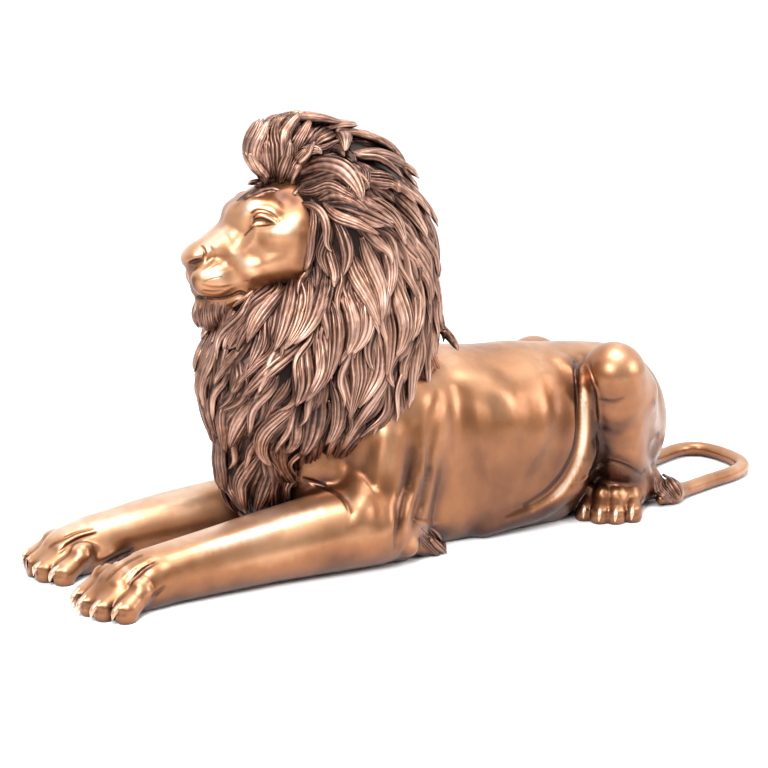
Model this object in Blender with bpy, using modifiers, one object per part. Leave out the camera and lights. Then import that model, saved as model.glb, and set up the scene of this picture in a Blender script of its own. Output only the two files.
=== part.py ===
"""A bronze lion lying with its head raised, its forelegs stretched out and its tail bent round.

One casting. The lion faces -X, its left side faces -Y and it lies on the ground plane Z = 0.
"""

import math

import bmesh
import bpy
import numpy as np
from mathutils import Matrix

# Overall size, in metres, from the ground to the top of the mane
HEIGHT = 1.20

# The clay is laid out in units of which there are 1.20 in the height, so that a lion
# 1.20 m tall is laid out in metres.
UNIT = HEIGHT / 1.20

# Pose, in degrees and units
HEAD_TURN = 12.0
HEAD_PLACE = (-0.734, 0.060, 0.848)
LEFT_PAW_TURN = 18.0
RIGHT_PAW_TURN = 2.0
RIGHT_PAW_LEAD = 0.045
RIGHT_LEG_GIRTH = 0.93
RIGHT_KNEE_DROP = 0.068

# Girths, in units
TRUNK_HALF_WIDTH = 0.212
FORELEG_RADIUS = 0.094
SHIN_RADIUS = 0.070
TOE_RADIUS = 0.026
TAIL_RADIUS = 0.023

# Carving of the mane, in units
LOCK_SPACING = 0.052
LOCK_STRIDE = 0.118
LOCK_LENGTH = 0.290
LOCK_HALF_WIDTH = 0.034
LOCK_THICKNESS = 0.026
LOCK_SWAY = 0.36
WAVE_LENGTH = 0.230

# Faceting of the finished casting, the voxels in units
CLAY_VOXEL = 0.011
CARVING_VOXEL = 0.007
FACETS = 9600

BRONZE_COLOUR = (0.42, 0.21, 0.09, 1.0)
BRONZE_ROUGHNESS = 0.38


def ball(centre, radii, turn=(0, 0, 0), blend=0.05, carve=False):
    """An ellipsoid of clay, turned by yaw, pitch and roll in degrees."""
    return {"ends": [(centre, 0)], "radii": radii, "turn": turn, "blend": blend, "carve": carve}


def limb(*ends, blend=0.03, carve=False):
    """A roll of clay through the given (point, radius) ends."""
    return {"ends": ends, "radii": None, "turn": (0, 0, 0), "blend": blend, "carve": carve}


def paw(palm, heading, size, rise):
    """Four toes fanned out from one palm, heading in degrees from -X toward -Y."""
    toe = TOE_RADIUS * size
    angle = math.radians(heading)
    ahead = np.array((-math.cos(angle), -math.sin(angle), 0))
    across = np.array((math.sin(angle), -math.cos(angle), 0))

    def at(forward, sideways, height):
        offset = ahead * forward + across * sideways + (0, 0, height * rise)
        return tuple(np.array(palm) + size * offset)

    heel = (0.105 * size, 0.080 * size, 0.046 * size * rise)
    clay = [ball(at(-0.015, 0, 0.045), heel, turn=(heading, 0, 0), blend=0.03)]
    for place, reach in zip((-1.46, -0.49, 0.49, 1.46), (0.0, 0.016, 0.016, -0.004)):
        side = place * TOE_RADIUS * 1.8
        clay.append(limb(
            (at(0.000, side * 0.75, 0.046), toe * 0.85),
            (at(0.040 + reach, side, 0.066), toe * 1.06),
            (at(0.070 + reach, side * 1.05, 0.047), toe * 1.04),
            (at(0.080 + reach, side * 1.06, 0.022), toe * 0.98),
            blend=0.014))
    return clay


def trunk():
    """Ribs, belly, loins and rump, with the belly spread where it meets the ground."""
    wide = TRUNK_HALF_WIDTH
    clay = [
        ball((-0.065, 0, 0.29), (0.30, wide * 0.97, 0.25), blend=0.08),
        ball((0.215, 0, 0.270), (0.34, wide * 1.015, 0.245), blend=0.08),
        ball((0.475, 0, 0.28), (0.22, wide * 0.83, 0.205), blend=0.08),
        ball((0.592, 0, 0.23), (0.180, wide * 0.80, 0.222), blend=0.06),
        ball((-0.30, 0, 0.23), (0.21, wide * 0.70, 0.24), blend=0.06)]
    for side in (-1, 1):
        clay.append(limb(
            ((-0.135, side * wide * 0.38, 0.085), 0.10),
            ((0.315, side * wide * 0.38, 0.085), 0.10),
            blend=0.10))
        # the fold of skin that runs from the loin down to the belly
        fold = ((0.350, 0.42, 0.450), (0.382, 0.74, 0.41), (0.400, 0.92, 0.31), (0.392, 0.93, 0.21),
                (0.345, 0.88, 0.12), (0.235, 0.82, 0.06), (0.065, 0.76, 0.035))
        clay.append(limb(*[((x, side * wide * y, z), 0.026) for x, y, z in fold], blend=0.03))
    return clay


def shoulder(side):
    """Shoulder blade, the two columns of the upper arm, elbow and the tuft behind it."""
    return [
        ball((-0.195, side * 0.135, 0.33), (0.12, 0.080, 0.17), turn=(0, 14, 0), blend=0.07),
        limb(
            ((-0.160, side * 0.140, 0.40), 0.060),
            ((-0.175, side * 0.180, 0.24), 0.062),
            ((-0.190, side * 0.190, 0.09), 0.050),
            blend=0.035),
        limb(
            ((-0.265, side * 0.145, 0.34), 0.070),
            ((-0.270, side * 0.168, 0.22), 0.078),
            ((-0.250, side * 0.180, 0.12), 0.084),
            blend=0.035),
        limb(((-0.185, side * 0.196, 0.045), 0.036), ((-0.215, side * 0.19, 0.04), 0.045), blend=0.015),
        limb(((-0.155, side * 0.198, 0.028), 0.030), ((-0.090, side * 0.210, 0.012), 0.012), blend=0.010)]


def foreleg(side, lead, heading, stout):
    """One foreleg laid along the ground, with its paw ahead; stout scales its girth."""
    thick = FORELEG_RADIUS * stout
    wrist = -0.925 - lead
    return [
        limb(
            ((-0.300, side * 0.178, thick * 1.20), thick * 1.22),
            ((-0.420, side * 0.172, thick * 1.15), thick * 1.17),
            ((-0.600, side * 0.165, thick * 1.01), thick * 1.02),
            ((-0.785 - lead * 0.9, side * 0.168, thick * 0.86), thick * 0.89),
            ((wrist, side * 0.168, thick * 0.73), thick * 0.81),
            ((wrist - 0.07, side * 0.160, 0.054), 0.064),
            blend=0.04)] + paw((wrist - 0.045, side * 0.152, 0), heading, 1.12, 0.84)


def hind_leg(side, drop):
    """One folded hind leg: thigh, raised knee, shin, heel and foot."""
    thick = SHIN_RADIUS
    knee = (0.458, side * 0.205, 0.440 - drop)
    groove = limb(
        ((0.412, side * 0.200, 0.49), 0.010),
        ((0.432, side * 0.225, 0.36), 0.016),
        ((0.430, side * 0.225, 0.22), 0.018),
        ((0.400, side * 0.220, 0.13), 0.014),
        blend=0.03, carve=True)
    thigh = limb(
        ((0.550, side * 0.10, 0.265), 0.122),
        ((0.525, side * 0.16, 0.36 - drop), 0.102),
        (knee, 0.088),
        blend=0.03)
    shin = limb(
        (knee, 0.086),
        ((0.492, side * 0.188, 0.29), thick * 1.14),
        ((0.534, side * 0.158, 0.17), thick * 1.10),
        ((0.580, side * 0.125, 0.095), thick * 1.05),
        blend=0.02)
    heel = limb(((0.650, side * 0.100, 0.060), 0.062), ((0.570, side * 0.120, 0.060), 0.068), blend=0.02)
    heading = -side * 51.5
    foot = ball((0.540, side * 0.130, 0.062), (0.085, 0.090, 0.066), turn=(heading, 0, 0), blend=0.02)
    return [groove, thigh, shin, heel, foot] + paw((0.510, side * 0.138, 0), heading, 1.0, 0.90)


def tail():
    """The tail, bent back on itself over the ground, and its tuft."""
    lying = TAIL_RADIUS
    bends = (
        (0.745, 0.04, 0.14), (0.815, 0.09, 0.055), (0.885, 0.15, lying), (1.006, 0.191, lying),
        (1.065, 0.187, lying), (1.103, 0.155, lying), (1.121, 0.081, lying), (1.114, 0.0, lying),
        (1.080, -0.05, lying), (1.015, -0.083, lying), (0.909, -0.107, lying), (0.812, -0.132, lying),
        (0.743, -0.148, lying))
    tuft = limb(
        ((0.755, -0.145, 0.026), 0.022),
        ((0.720, -0.158, 0.032), 0.040),
        ((0.665, -0.178, 0.022), 0.014),
        blend=0.02)
    return [limb(*[(place, TAIL_RADIUS) for place in bends], blend=0.02), tuft]


def head():
    """The head in its own frame: X back from the tip of the nose, Z up."""
    clay = [
        ball((0.278, 0, 0.036), (0.165, 0.112, 0.146), turn=(0, -6, 0), blend=0.04),
        ball((0.300, 0, 0.012), (0.12, 0.106, 0.112), blend=0.05)]
    for side in (-1, 1):
        bridge = limb(
            ((0.20, side * 0.020, 0.058), 0.056),
            ((0.143, side * 0.020, 0.033), 0.050),
            ((0.066, side * 0.012, -0.008), 0.038),
            blend=0.02)
        pad_turn = (-side * 10, 4, 0)
        whisker_pad = ball((0.092, side * 0.036, -0.068), (0.072, 0.043, 0.054), turn=pad_turn, blend=0.018)
        lip = limb(
            ((0.215, side * 0.066, -0.020), 0.050),
            ((0.150, side * 0.050, -0.058), 0.041),
            ((0.105, side * 0.040, -0.062), 0.040),
            blend=0.03)
        cheek_bone = limb(
            ((0.27, side * 0.080, 0.045), 0.042),
            ((0.205, side * 0.064, 0.020), 0.038),
            ((0.15, side * 0.046, -0.012), 0.038),
            blend=0.035)
        cheek = ball((0.275, side * 0.052, 0.010), (0.085, 0.066, 0.078), blend=0.05)
        brow = limb(
            ((0.150, side * 0.026, 0.096), 0.028),
            ((0.180, side * 0.056, 0.116), 0.022),
            ((0.235, side * 0.080, 0.110), 0.020),
            blend=0.03)
        jaw = limb(
            ((0.235, side * 0.034, -0.018), 0.070),
            ((0.183, side * 0.032, -0.076), 0.054),
            ((0.130, side * 0.026, -0.112), 0.046),
            ((0.088, side * 0.014, -0.142), 0.040),
            blend=0.014)
        socket = ball(
            (0.207, side * 0.108, 0.091), (0.044, 0.022, 0.024),
            turn=(side * 16, -10, 0), blend=0.03, carve=True)
        eye = ball((0.205, side * 0.072, 0.091), (0.030, 0.030, 0.024), turn=(side * 10, 0, 0), blend=0.006)
        mouth = limb(
            ((0.038, 0, -0.124), 0.006),
            ((0.056, side * 0.042, -0.114), 0.006),
            ((0.086, side * 0.068, -0.112), 0.006),
            ((0.130, side * 0.080, -0.101), 0.006),
            ((0.158, side * 0.084, -0.100), 0.005),
            blend=0.010, carve=True)
        clay += [bridge, whisker_pad, lip, cheek_bone, cheek, brow, jaw, socket, eye, mouth]
    upper_lip = limb(((0.036, 0, -0.030), 0.022), ((0.048, 0, -0.100), 0.022), blend=0.02)
    nose = ball((0.036, 0, -0.010), (0.034, 0.042, 0.027), turn=(0, -28, 0), blend=0.014)
    chin = ball((0.076, 0, -0.162), (0.047, 0.046, 0.049), blend=0.018)
    return clay + [upper_lip, nose, chin]


def mane():
    """The mass of the mane beneath its locks."""
    return [
        ball((-0.300, 0, 0.945), (0.172, 0.180, 0.183)),
        limb(
            ((-0.468, 0, 1.060), 0.045), ((-0.492, 0, 1.102), 0.044),
            ((-0.448, 0, 1.132), 0.050), ((-0.390, 0, 1.106), 0.058)),
        ball((-0.265, 0, 0.860), (0.200, 0.205, 0.180)),
        ball((-0.223, 0, 0.780), (0.163, 0.185, 0.200)),
        ball((-0.292, 0, 0.66), (0.208, 0.232, 0.25)),
        ball((-0.475, 0, 0.67), (0.155, 0.165, 0.12)),
        ball((-0.462, 0, 0.510), (0.228, 0.195, 0.240)),
        ball((-0.195, 0, 0.60), (0.155, 0.175, 0.22)),
        ball((-0.285, 0, 0.45), (0.17, 0.205, 0.20)),
        limb(((-0.530, 0, 0.40), 0.115), ((-0.548, 0, 0.22), 0.080))]


# A place on the mane and the way the hair runs there; those off the middle hold for both sides.
HAIR_RUN = (
    ((-0.520, 0.0, 1.04), (0.05, 0, 1.0)), ((-0.525, -0.06, 1.05), (0.1, -0.15, 1.0)),
    ((-0.515, 0.0, 1.12), (0.6, 0, 1.0)), ((-0.445, 0.0, 1.19), (1, 0, 0.25)),
    ((-0.485, -0.09, 1.10), (0.7, -0.25, 0.7)), ((-0.335, 0.0, 1.19), (1, 0, -0.1)),
    ((-0.235, 0.0, 1.15), (1, 0, -0.45)), ((-0.155, 0.0, 1.05), (0.55, 0, -1)),
    ((-0.095, 0.0, 0.92), (0.35, 0, -1)), ((-0.065, 0.0, 0.78), (0.2, 0, -1)),
    ((-0.015, 0.0, 0.62), (0.35, 0, -1)), ((0.015, 0.0, 0.50), (0.8, 0, -1)),
    ((-0.425, -0.12, 1.06), (1.0, -0.25, 0.15)), ((-0.325, -0.15, 1.08), (1, -0.1, -0.25)),
    ((-0.235, -0.14, 1.05), (0.8, 0, -0.7)), ((-0.425, -0.16, 0.98), (1.0, -0.3, -0.35)),
    ((-0.305, -0.18, 0.96), (0.9, -0.05, -0.75)), ((-0.185, -0.16, 0.92), (0.5, 0.05, -1)),
    ((-0.425, -0.18, 0.88), (0.55, -0.3, -1)), ((-0.305, -0.20, 0.84), (0.35, -0.1, -1)),
    ((-0.165, -0.17, 0.78), (0.2, 0, -1)), ((-0.455, -0.19, 0.78), (0.10, -0.2, -1)),
    ((-0.325, -0.22, 0.70), (-0.10, -0.05, -1)), ((-0.145, -0.19, 0.64), (0.05, -0.05, -1)),
    ((-0.515, -0.17, 0.68), (0, -0.05, -1)), ((-0.615, -0.05, 0.66), (-0.1, 0, -1)),
    ((-0.585, -0.12, 0.62), (0, -0.05, -1)), ((-0.465, -0.20, 0.58), (-0.25, 0, -1)),
    ((-0.305, -0.22, 0.55), (-0.35, 0, -1)), ((-0.135, -0.19, 0.50), (-0.15, 0, -1)),
    ((-0.665, -0.05, 0.52), (0, 0.02, -1)), ((-0.605, -0.13, 0.48), (-0.1, 0.05, -1)),
    ((-0.465, -0.20, 0.44), (-0.45, 0.1, -1)), ((-0.305, -0.20, 0.42), (-0.7, 0, -0.9)),
    ((-0.145, -0.20, 0.42), (-0.2, 0, -1)), ((-0.665, -0.04, 0.38), (0.15, 0, -1)),
    ((-0.605, -0.10, 0.34), (-0.1, 0.1, -1)), ((-0.485, -0.16, 0.32), (-0.6, 0.1, -1)),
    ((-0.635, -0.03, 0.26), (0.3, 0, -1)), ((-0.565, -0.08, 0.22), (0, 0.1, -1)))


def unit(vectors):
    """The vectors, each brought to length one."""
    return vectors / np.maximum(np.linalg.norm(vectors, axis=-1), 1e-9)[..., None]


def hair_run(points):
    """The way the hair runs at each point, from the places near it."""
    run = np.zeros_like(points)
    for place, way in HAIR_RUN:
        for side in ((1, -1) if place[1] else (1,)):
            flip = np.array((1, side, 1))
            apart = ((points / UNIT - np.array(place) * flip) ** 2).sum(1)
            run += (1 / (apart + 0.0009) ** 2)[:, None] * unit(np.array(way, float)) * flip
    return unit(run)


def rolled(clay, shift=(0, 0, 0), yaw=0.0):
    """The clay with its centres, axes and reach worked out, set down at a place."""
    place = np.array(Matrix.Rotation(math.radians(yaw), 3, "Z"))
    ready = []
    for piece in clay:
        points = (np.array([end[0] for end in piece["ends"]], float) @ place.T + shift) * UNIT
        radii = np.array([end[1] for end in piece["ends"]], float) * UNIT
        middle = (points.max(0) + points.min(0)) / 2
        made = dict(piece, points=points, middle=middle, blend=piece["blend"] * UNIT)
        if piece["radii"]:
            turn = [math.radians(angle) for angle in piece["turn"]]
            axes = Matrix.Rotation(turn[0], 3, "Z") @ Matrix.Rotation(turn[1], 3, "Y")
            axes = axes @ Matrix.Rotation(turn[2], 3, "X")
            made.update(axes=place @ np.array(axes), size=np.array(piece["radii"], float) * UNIT)
            made["reach"] = made["size"].max()
        else:
            made.update(size=radii)
            made["reach"] = (np.linalg.norm(points - made["middle"], axis=1) + radii).max()
        ready.append(made)
    return ready


def depth_in(piece, points):
    """Signed distance of the points from one piece of clay, negative inside."""
    if piece["radii"]:
        local = (points - piece["points"][0]) @ piece["axes"]
        near = np.linalg.norm(local / piece["size"], axis=1)
        far = np.linalg.norm(local / piece["size"] ** 2, axis=1)
        return near * (near - 1) / np.maximum(far, 1e-9)
    best = np.full(len(points), 9.0)
    for a, b, start, end in zip(piece["points"], piece["points"][1:], piece["size"], piece["size"][1:]):
        along = b - a
        share = np.clip((points - a) @ along / (along @ along), 0, 1)
        gap = np.linalg.norm(points - a - share[:, None] * along, axis=1) - (start + (end - start) * share)
        best = np.minimum(best, gap)
    return best


def depth(clay, points):
    """Signed distance of the points from all the clay, each piece blended into the last."""
    total = np.full(len(points), 9.0)
    for piece in clay:
        blend = piece["blend"]
        gap = np.linalg.norm(points - piece["middle"], axis=1) - piece["reach"]
        near = gap < (blend - total if piece["carve"] else total + blend)
        if not near.any():
            continue
        other = depth_in(piece, points[near])
        mine = total[near]
        if piece["carve"]:
            share = np.maximum(blend - np.abs(mine + other), 0) / blend
            total[near] = np.maximum(mine, -other) + share * share * blend / 4
        else:
            share = np.maximum(blend - np.abs(mine - other), 0) / blend
            total[near] = np.minimum(mine, other) - share * share * blend / 4
    return total


def slope(clay, points, step=0.001 * UNIT):
    """Depth at the points and the direction in which it grows."""
    here = depth(clay, points)
    rise = np.empty_like(points)
    for axis in range(3):
        moved = points.copy()
        moved[:, axis] += step
        rise[:, axis] = (depth(clay, moved) - here) / step
    return here, rise


def corners(mesh):
    """Vertex places of a mesh as an array."""
    places = np.empty(len(mesh.vertices) * 3)
    mesh.vertices.foreach_get("co", places)
    return places.reshape(-1, 3)


def linked(name, mesh, collection):
    """A new object for a mesh, in the given collection."""
    made = bpy.data.objects.new(name, mesh)
    collection.objects.link(made)
    return made


def remeshed(piece, voxel):
    """Fuse everything in a piece into one skin."""
    fuse = piece.modifiers.new("Fuse", "REMESH")
    fuse.mode = "VOXEL"
    fuse.voxel_size = voxel * UNIT
    applied(piece)


def applied(piece):
    """Replace a piece's mesh by the result of its modifiers."""
    bpy.context.view_layer.update()
    result = piece.evaluated_get(bpy.context.evaluated_depsgraph_get())
    mesh = bpy.data.meshes.new_from_object(result)
    old = piece.data
    piece.modifiers.clear()
    piece.data = mesh
    bpy.data.meshes.remove(old)


def blocked_out(name, clay, voxel, collection):
    """Rough balls and rolls for the clay, fused into one skin."""
    block = bmesh.new()
    for piece in clay:
        if piece["carve"]:
            continue
        if piece["radii"]:
            place = Matrix(piece["axes"].tolist()).to_4x4() @ Matrix.Diagonal((*piece["size"], 1))
            place.translation = piece["points"][0]
            bmesh.ops.create_icosphere(block, subdivisions=3, radius=1, matrix=place)
            continue
        for a, b, start, end in zip(piece["points"], piece["points"][1:], piece["size"], piece["size"][1:]):
            roll = bmesh.new()
            for point, radius in ((a, start), (b, end)):
                place = Matrix.Translation(point)
                bmesh.ops.create_icosphere(roll, subdivisions=3, radius=radius, matrix=place)
            hull = bmesh.ops.convex_hull(roll, input=roll.verts)
            inside = [item for item in hull["geom_interior"] if isinstance(item, bmesh.types.BMVert)]
            bmesh.ops.delete(roll, geom=inside, context="VERTS")
            skin = bpy.data.meshes.new("roll")
            roll.to_mesh(skin)
            roll.free()
            block.from_mesh(skin)
            bpy.data.meshes.remove(skin)
    mesh = bpy.data.meshes.new(name)
    block.to_mesh(mesh)
    block.free()
    piece = linked(name, mesh, collection)
    remeshed(piece, voxel)
    return piece


def smoothed(piece, clay, rounds):
    """Draw the skin onto the blended clay, evening it out on the way."""
    mesh = piece.data
    places = corners(mesh)
    ends = np.empty(len(mesh.edges) * 2, np.int64)
    mesh.edges.foreach_get("vertices", ends)
    first, second = ends.reshape(-1, 2).T
    count = np.bincount(ends, minlength=len(places))
    for turn in range(rounds + 2):
        if turn < rounds:
            mean = np.empty_like(places)
            for axis in range(3):
                mean[:, axis] = np.bincount(first, places[second, axis], len(places))
                mean[:, axis] += np.bincount(second, places[first, axis], len(places))
            places = (places + mean / count[:, None]) / 2
        here, rise = slope(clay, places)
        size = np.sqrt(np.maximum((rise * rise).sum(1), 0.05))
        places = places - (np.clip(here / size, -0.02 * UNIT, 0.02 * UNIT) / size)[:, None] * rise
    mesh.vertices.foreach_set("co", places.ravel())
    mesh.update()


def lock_roots(piece, face, body, chance):
    """Places on the mane for the roots of locks, spaced out across the hair and further along it."""
    places = corners(piece.data)
    off_face = (depth(face, places) > -0.010 * UNIT) | (places[:, 0] > -0.385 * UNIT)
    places = places[off_face & (depth(body, places) > -0.035 * UNIT)]
    places = places[chance.permutation(len(places))]
    runs = hair_run(places)
    chosen = [0]
    for number in range(1, len(places)):
        apart = places[chosen] - places[number]
        along = (apart * runs[number]).sum(1)
        across = (apart ** 2).sum(1) - along ** 2
        nearness = across / (LOCK_SPACING * UNIT) ** 2 + along ** 2 / (LOCK_STRIDE * UNIT) ** 2
        if nearness.min() > 1:
            chosen.append(number)
    return places[chosen]


def combed(roots, lengths, clay, rings, chance):
    """Paths of locks over the mane, and the outward way at each ring."""
    path = np.empty((len(roots), rings, 3))
    outward = np.empty((len(roots), rings, 3))
    place = roots.copy()
    phase = (25 * roots[:, 2] + 14 * roots[:, 0]) / UNIT + chance.uniform(-0.8, 0.8, len(roots))
    curl = chance.uniform(-0.8, 0.8, len(roots))
    way = hair_run(place)
    for ring in range(rings):
        share = ring / (rings - 1)
        here, rise = slope(clay, place)
        rise = unit(rise)
        place = place - np.clip(here, -0.02 * UNIT, 0.02 * UNIT)[:, None] * rise
        path[:, ring] = place
        outward[:, ring] = rise
        way = unit(way * 0.45 + hair_run(place) * 0.55)
        way = unit(way - (way * rise).sum(1)[:, None] * rise)
        sway = LOCK_SWAY * np.cos(phase + share * lengths / (WAVE_LENGTH * UNIT) * 2 * math.pi)
        sway += curl * max(0, share - 0.7) * 3
        heading = unit(way + np.cross(rise, way) * sway[:, None])
        place = place + heading * (lengths / (rings - 1))[:, None]
    return path, outward


def tube(around, rings):
    """A closed tube drawn out ring by ring, one unit apart."""
    made = bmesh.new()
    bmesh.ops.create_circle(made, cap_ends=False, segments=around, radius=1)
    edges = list(made.edges)
    for _ in range(rings - 1):
        drawn = bmesh.ops.extrude_edge_only(made, edges=edges)["geom"]
        verts = {item for item in drawn if isinstance(item, bmesh.types.BMVert)}
        edges = [item for item in drawn if isinstance(item, bmesh.types.BMEdge)]
        edges = [edge for edge in edges if verts.issuperset(edge.verts)]
        bmesh.ops.translate(made, verts=list(verts), vec=(0, 0, 1))
    bmesh.ops.holes_fill(made, edges=[edge for edge in made.edges if edge.is_boundary], sides=0)
    bmesh.ops.recalc_face_normals(made, faces=made.faces)
    mesh = bpy.data.meshes.new("tube")
    made.to_mesh(mesh)
    made.free()
    return mesh


def carved_locks(path, outward, half_width, thickness, around, collection):
    """Flattened, tapering locks along the paths, rooted in the mane and lifting toward their tips."""
    count, rings = path.shape[:2]
    pattern = tube(around, rings)
    flat = corners(pattern)
    ring = np.rint(flat[:, 2]).astype(int)
    across, above = flat[:, 0], np.where(flat[:, 1] > 0, flat[:, 1], flat[:, 1] * 0.55)
    share = np.linspace(0, 1, rings)
    forward = unit(np.gradient(path, axis=1))
    sideways = unit(np.cross(outward, forward))
    upward = unit(np.cross(forward, sideways))
    swell = 0.45 + 0.55 * np.sin(np.minimum(share / 0.45, 1) * math.pi / 2)
    swell *= np.cos(np.maximum(share - 0.45, 0) / 0.55 * math.pi / 2 * 0.96) ** 0.75
    width = half_width[:, None] * swell
    height = thickness[:, None] * (0.35 + 0.65 * swell)
    lift = thickness[:, None] * (-0.7 + 2.0 * share ** 1.3)
    places = path[:, ring] + sideways[:, ring] * (width[:, ring] * across)[:, :, None]
    places += upward[:, ring] * (height[:, ring] * above + lift[:, ring])[:, :, None]
    made = bmesh.new()
    for _ in range(count):
        made.from_mesh(pattern)
    mesh = bpy.data.meshes.new("locks")
    made.to_mesh(mesh)
    made.free()
    bpy.data.meshes.remove(pattern)
    mesh.vertices.foreach_set("co", places.ravel())
    mesh.update()
    return linked("locks", mesh, collection)


def joined(pieces, name, collection):
    """One mesh object holding all the pieces."""
    whole = bmesh.new()
    for piece in pieces:
        whole.from_mesh(piece.data)
        bpy.data.objects.remove(piece)
    mesh = bpy.data.meshes.new(name)
    whole.to_mesh(mesh)
    whole.free()
    return linked(name, mesh, collection)


def largest_shell(made):
    """Drop every shell but the one with the most vertices."""
    unseen = set(made.verts)
    shells = []
    while unseen:
        stack = [unseen.pop()]
        shell = []
        while stack:
            vert = stack.pop()
            shell.append(vert)
            for edge in vert.link_edges:
                other = edge.other_vert(vert)
                if other in unseen:
                    unseen.remove(other)
                    stack.append(other)
        shells.append(shell)
    shells.sort(key=len)
    for shell in shells[:-1]:
        bmesh.ops.delete(made, geom=shell, context="VERTS")


def facetted(piece):
    """Bring the skin down to flat facets and give it a flat underside at Z = 0."""
    made = bmesh.new()
    made.from_mesh(piece.data)
    largest_shell(made)
    made.to_mesh(piece.data)
    made.free()
    thin = piece.modifiers.new("Facets", "DECIMATE")
    thin.ratio = FACETS / (2 * len(piece.data.polygons))
    thin.use_collapse_triangulate = True
    applied(piece)
    made = bmesh.new()
    made.from_mesh(piece.data)
    for vert in made.verts:
        if abs(vert.co.z) < 0.003 * UNIT:
            vert.co.z = 0
    geometry = made.verts[:] + made.edges[:] + made.faces[:]
    bmesh.ops.bisect_plane(
        made, geom=geometry, dist=1e-5, plane_co=(0, 0, 0), plane_no=(0, 0, 1), clear_inner=True)
    bmesh.ops.holes_fill(made, edges=[edge for edge in made.edges if edge.is_boundary], sides=0)
    bmesh.ops.remove_doubles(made, verts=made.verts, dist=0.0004 * UNIT)
    bmesh.ops.triangulate(made, faces=made.faces)
    bmesh.ops.recalc_face_normals(made, faces=made.faces)
    made.to_mesh(piece.data)
    made.free()


def bronze():
    """Warm brown bronze."""
    material = bpy.data.materials.new("bronze")
    material.use_nodes = True
    shader = material.node_tree.nodes["Principled BSDF"]
    shader.inputs["Base Color"].default_value = BRONZE_COLOUR
    shader.inputs["Metallic"].default_value = 0.85
    shader.inputs["Roughness"].default_value = BRONZE_ROUGHNESS
    return material


def build():
    """Build the casting and leave it in its own collection."""
    for item in list(bpy.data.objects):
        bpy.data.objects.remove(item)
    collection = bpy.data.collections.new("lion_statue")
    bpy.context.scene.collection.children.link(collection)
    chance = np.random.default_rng(7)

    body = trunk() + tail()
    body += shoulder(-1) + hind_leg(-1, 0)
    body += foreleg(-1, 0, LEFT_PAW_TURN, 1.0)
    body += shoulder(1) + hind_leg(1, RIGHT_KNEE_DROP)
    body += foreleg(1, RIGHT_PAW_LEAD, RIGHT_PAW_TURN, RIGHT_LEG_GIRTH)
    body = rolled(body)
    face = rolled(head(), shift=HEAD_PLACE, yaw=-HEAD_TURN)
    hair = rolled(mane())

    skin = blocked_out("skin", body, CLAY_VOXEL, collection)
    smoothed(skin, body, 6)
    skull = blocked_out("skull", face, CARVING_VOXEL, collection)
    smoothed(skull, face, 4)
    ruff = blocked_out("ruff", hair, CLAY_VOXEL, collection)
    smoothed(ruff, hair, 4)

    roots = lock_roots(ruff, face, body, chance)
    lengths = LOCK_LENGTH * UNIT * chance.uniform(0.85, 1.2, len(roots))
    lengths[roots[:, 2] > 0.98 * UNIT] *= 0.75
    path, outward = combed(roots, lengths, hair, 16, chance)
    half_width = LOCK_HALF_WIDTH * UNIT * chance.uniform(0.8, 1.15, len(roots))
    thickness = LOCK_THICKNESS * UNIT * chance.uniform(0.85, 1.15, len(roots))
    crown = roots[:, 2] > 0.98 * UNIT
    half_width[crown] *= 0.75
    thickness[crown] *= 0.60
    locks = carved_locks(path, outward, half_width, thickness, 12, collection)
    print("locks", len(roots))

    lion = joined((skin, skull, ruff, locks), "lion", collection)
    remeshed(lion, CARVING_VOXEL)
    facetted(lion)
    lion.data.materials.append(bronze())
    print("facets", len(lion.data.polygons))


build()
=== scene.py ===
# %% [markdown]
# # A cast bronze lion
# The statue is one hollow casting: a lion lying with its head raised, its forelegs stretched
# out and its tail bent round on the ground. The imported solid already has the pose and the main
# masses. This lesson models the finished surface over it, from the broad forms down to the
# strands of the mane, and then gives it a patina.

import math

import bmesh
import bpy
import numpy as np
from mathutils import Matrix, Vector


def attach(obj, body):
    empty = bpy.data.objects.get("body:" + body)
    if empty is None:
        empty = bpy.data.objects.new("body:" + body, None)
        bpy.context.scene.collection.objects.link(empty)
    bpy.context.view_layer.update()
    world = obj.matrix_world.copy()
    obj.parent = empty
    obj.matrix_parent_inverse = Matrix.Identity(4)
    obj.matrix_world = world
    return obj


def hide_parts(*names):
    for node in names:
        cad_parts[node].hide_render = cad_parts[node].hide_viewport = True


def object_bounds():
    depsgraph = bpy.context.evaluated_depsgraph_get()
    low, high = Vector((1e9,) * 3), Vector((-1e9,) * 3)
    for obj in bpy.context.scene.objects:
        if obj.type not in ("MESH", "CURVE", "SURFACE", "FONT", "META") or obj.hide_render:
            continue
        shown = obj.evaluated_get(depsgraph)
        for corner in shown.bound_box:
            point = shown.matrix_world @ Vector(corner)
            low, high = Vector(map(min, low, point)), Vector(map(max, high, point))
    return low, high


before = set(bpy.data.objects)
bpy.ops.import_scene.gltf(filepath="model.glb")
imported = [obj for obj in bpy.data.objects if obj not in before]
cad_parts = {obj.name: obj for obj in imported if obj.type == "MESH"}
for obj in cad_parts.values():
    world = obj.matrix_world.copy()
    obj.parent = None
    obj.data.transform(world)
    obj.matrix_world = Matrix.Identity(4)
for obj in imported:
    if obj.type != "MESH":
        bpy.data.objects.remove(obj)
solid_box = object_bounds()
print("solid", [[round(value, 3) for value in corner] for corner in solid_box])

# %% [markdown]
# ## Camera
# The camera comes first, because the locks of the mane are laid along strokes measured in the
# picture. It stands a little in front of the lion's left side and above its back.

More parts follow.
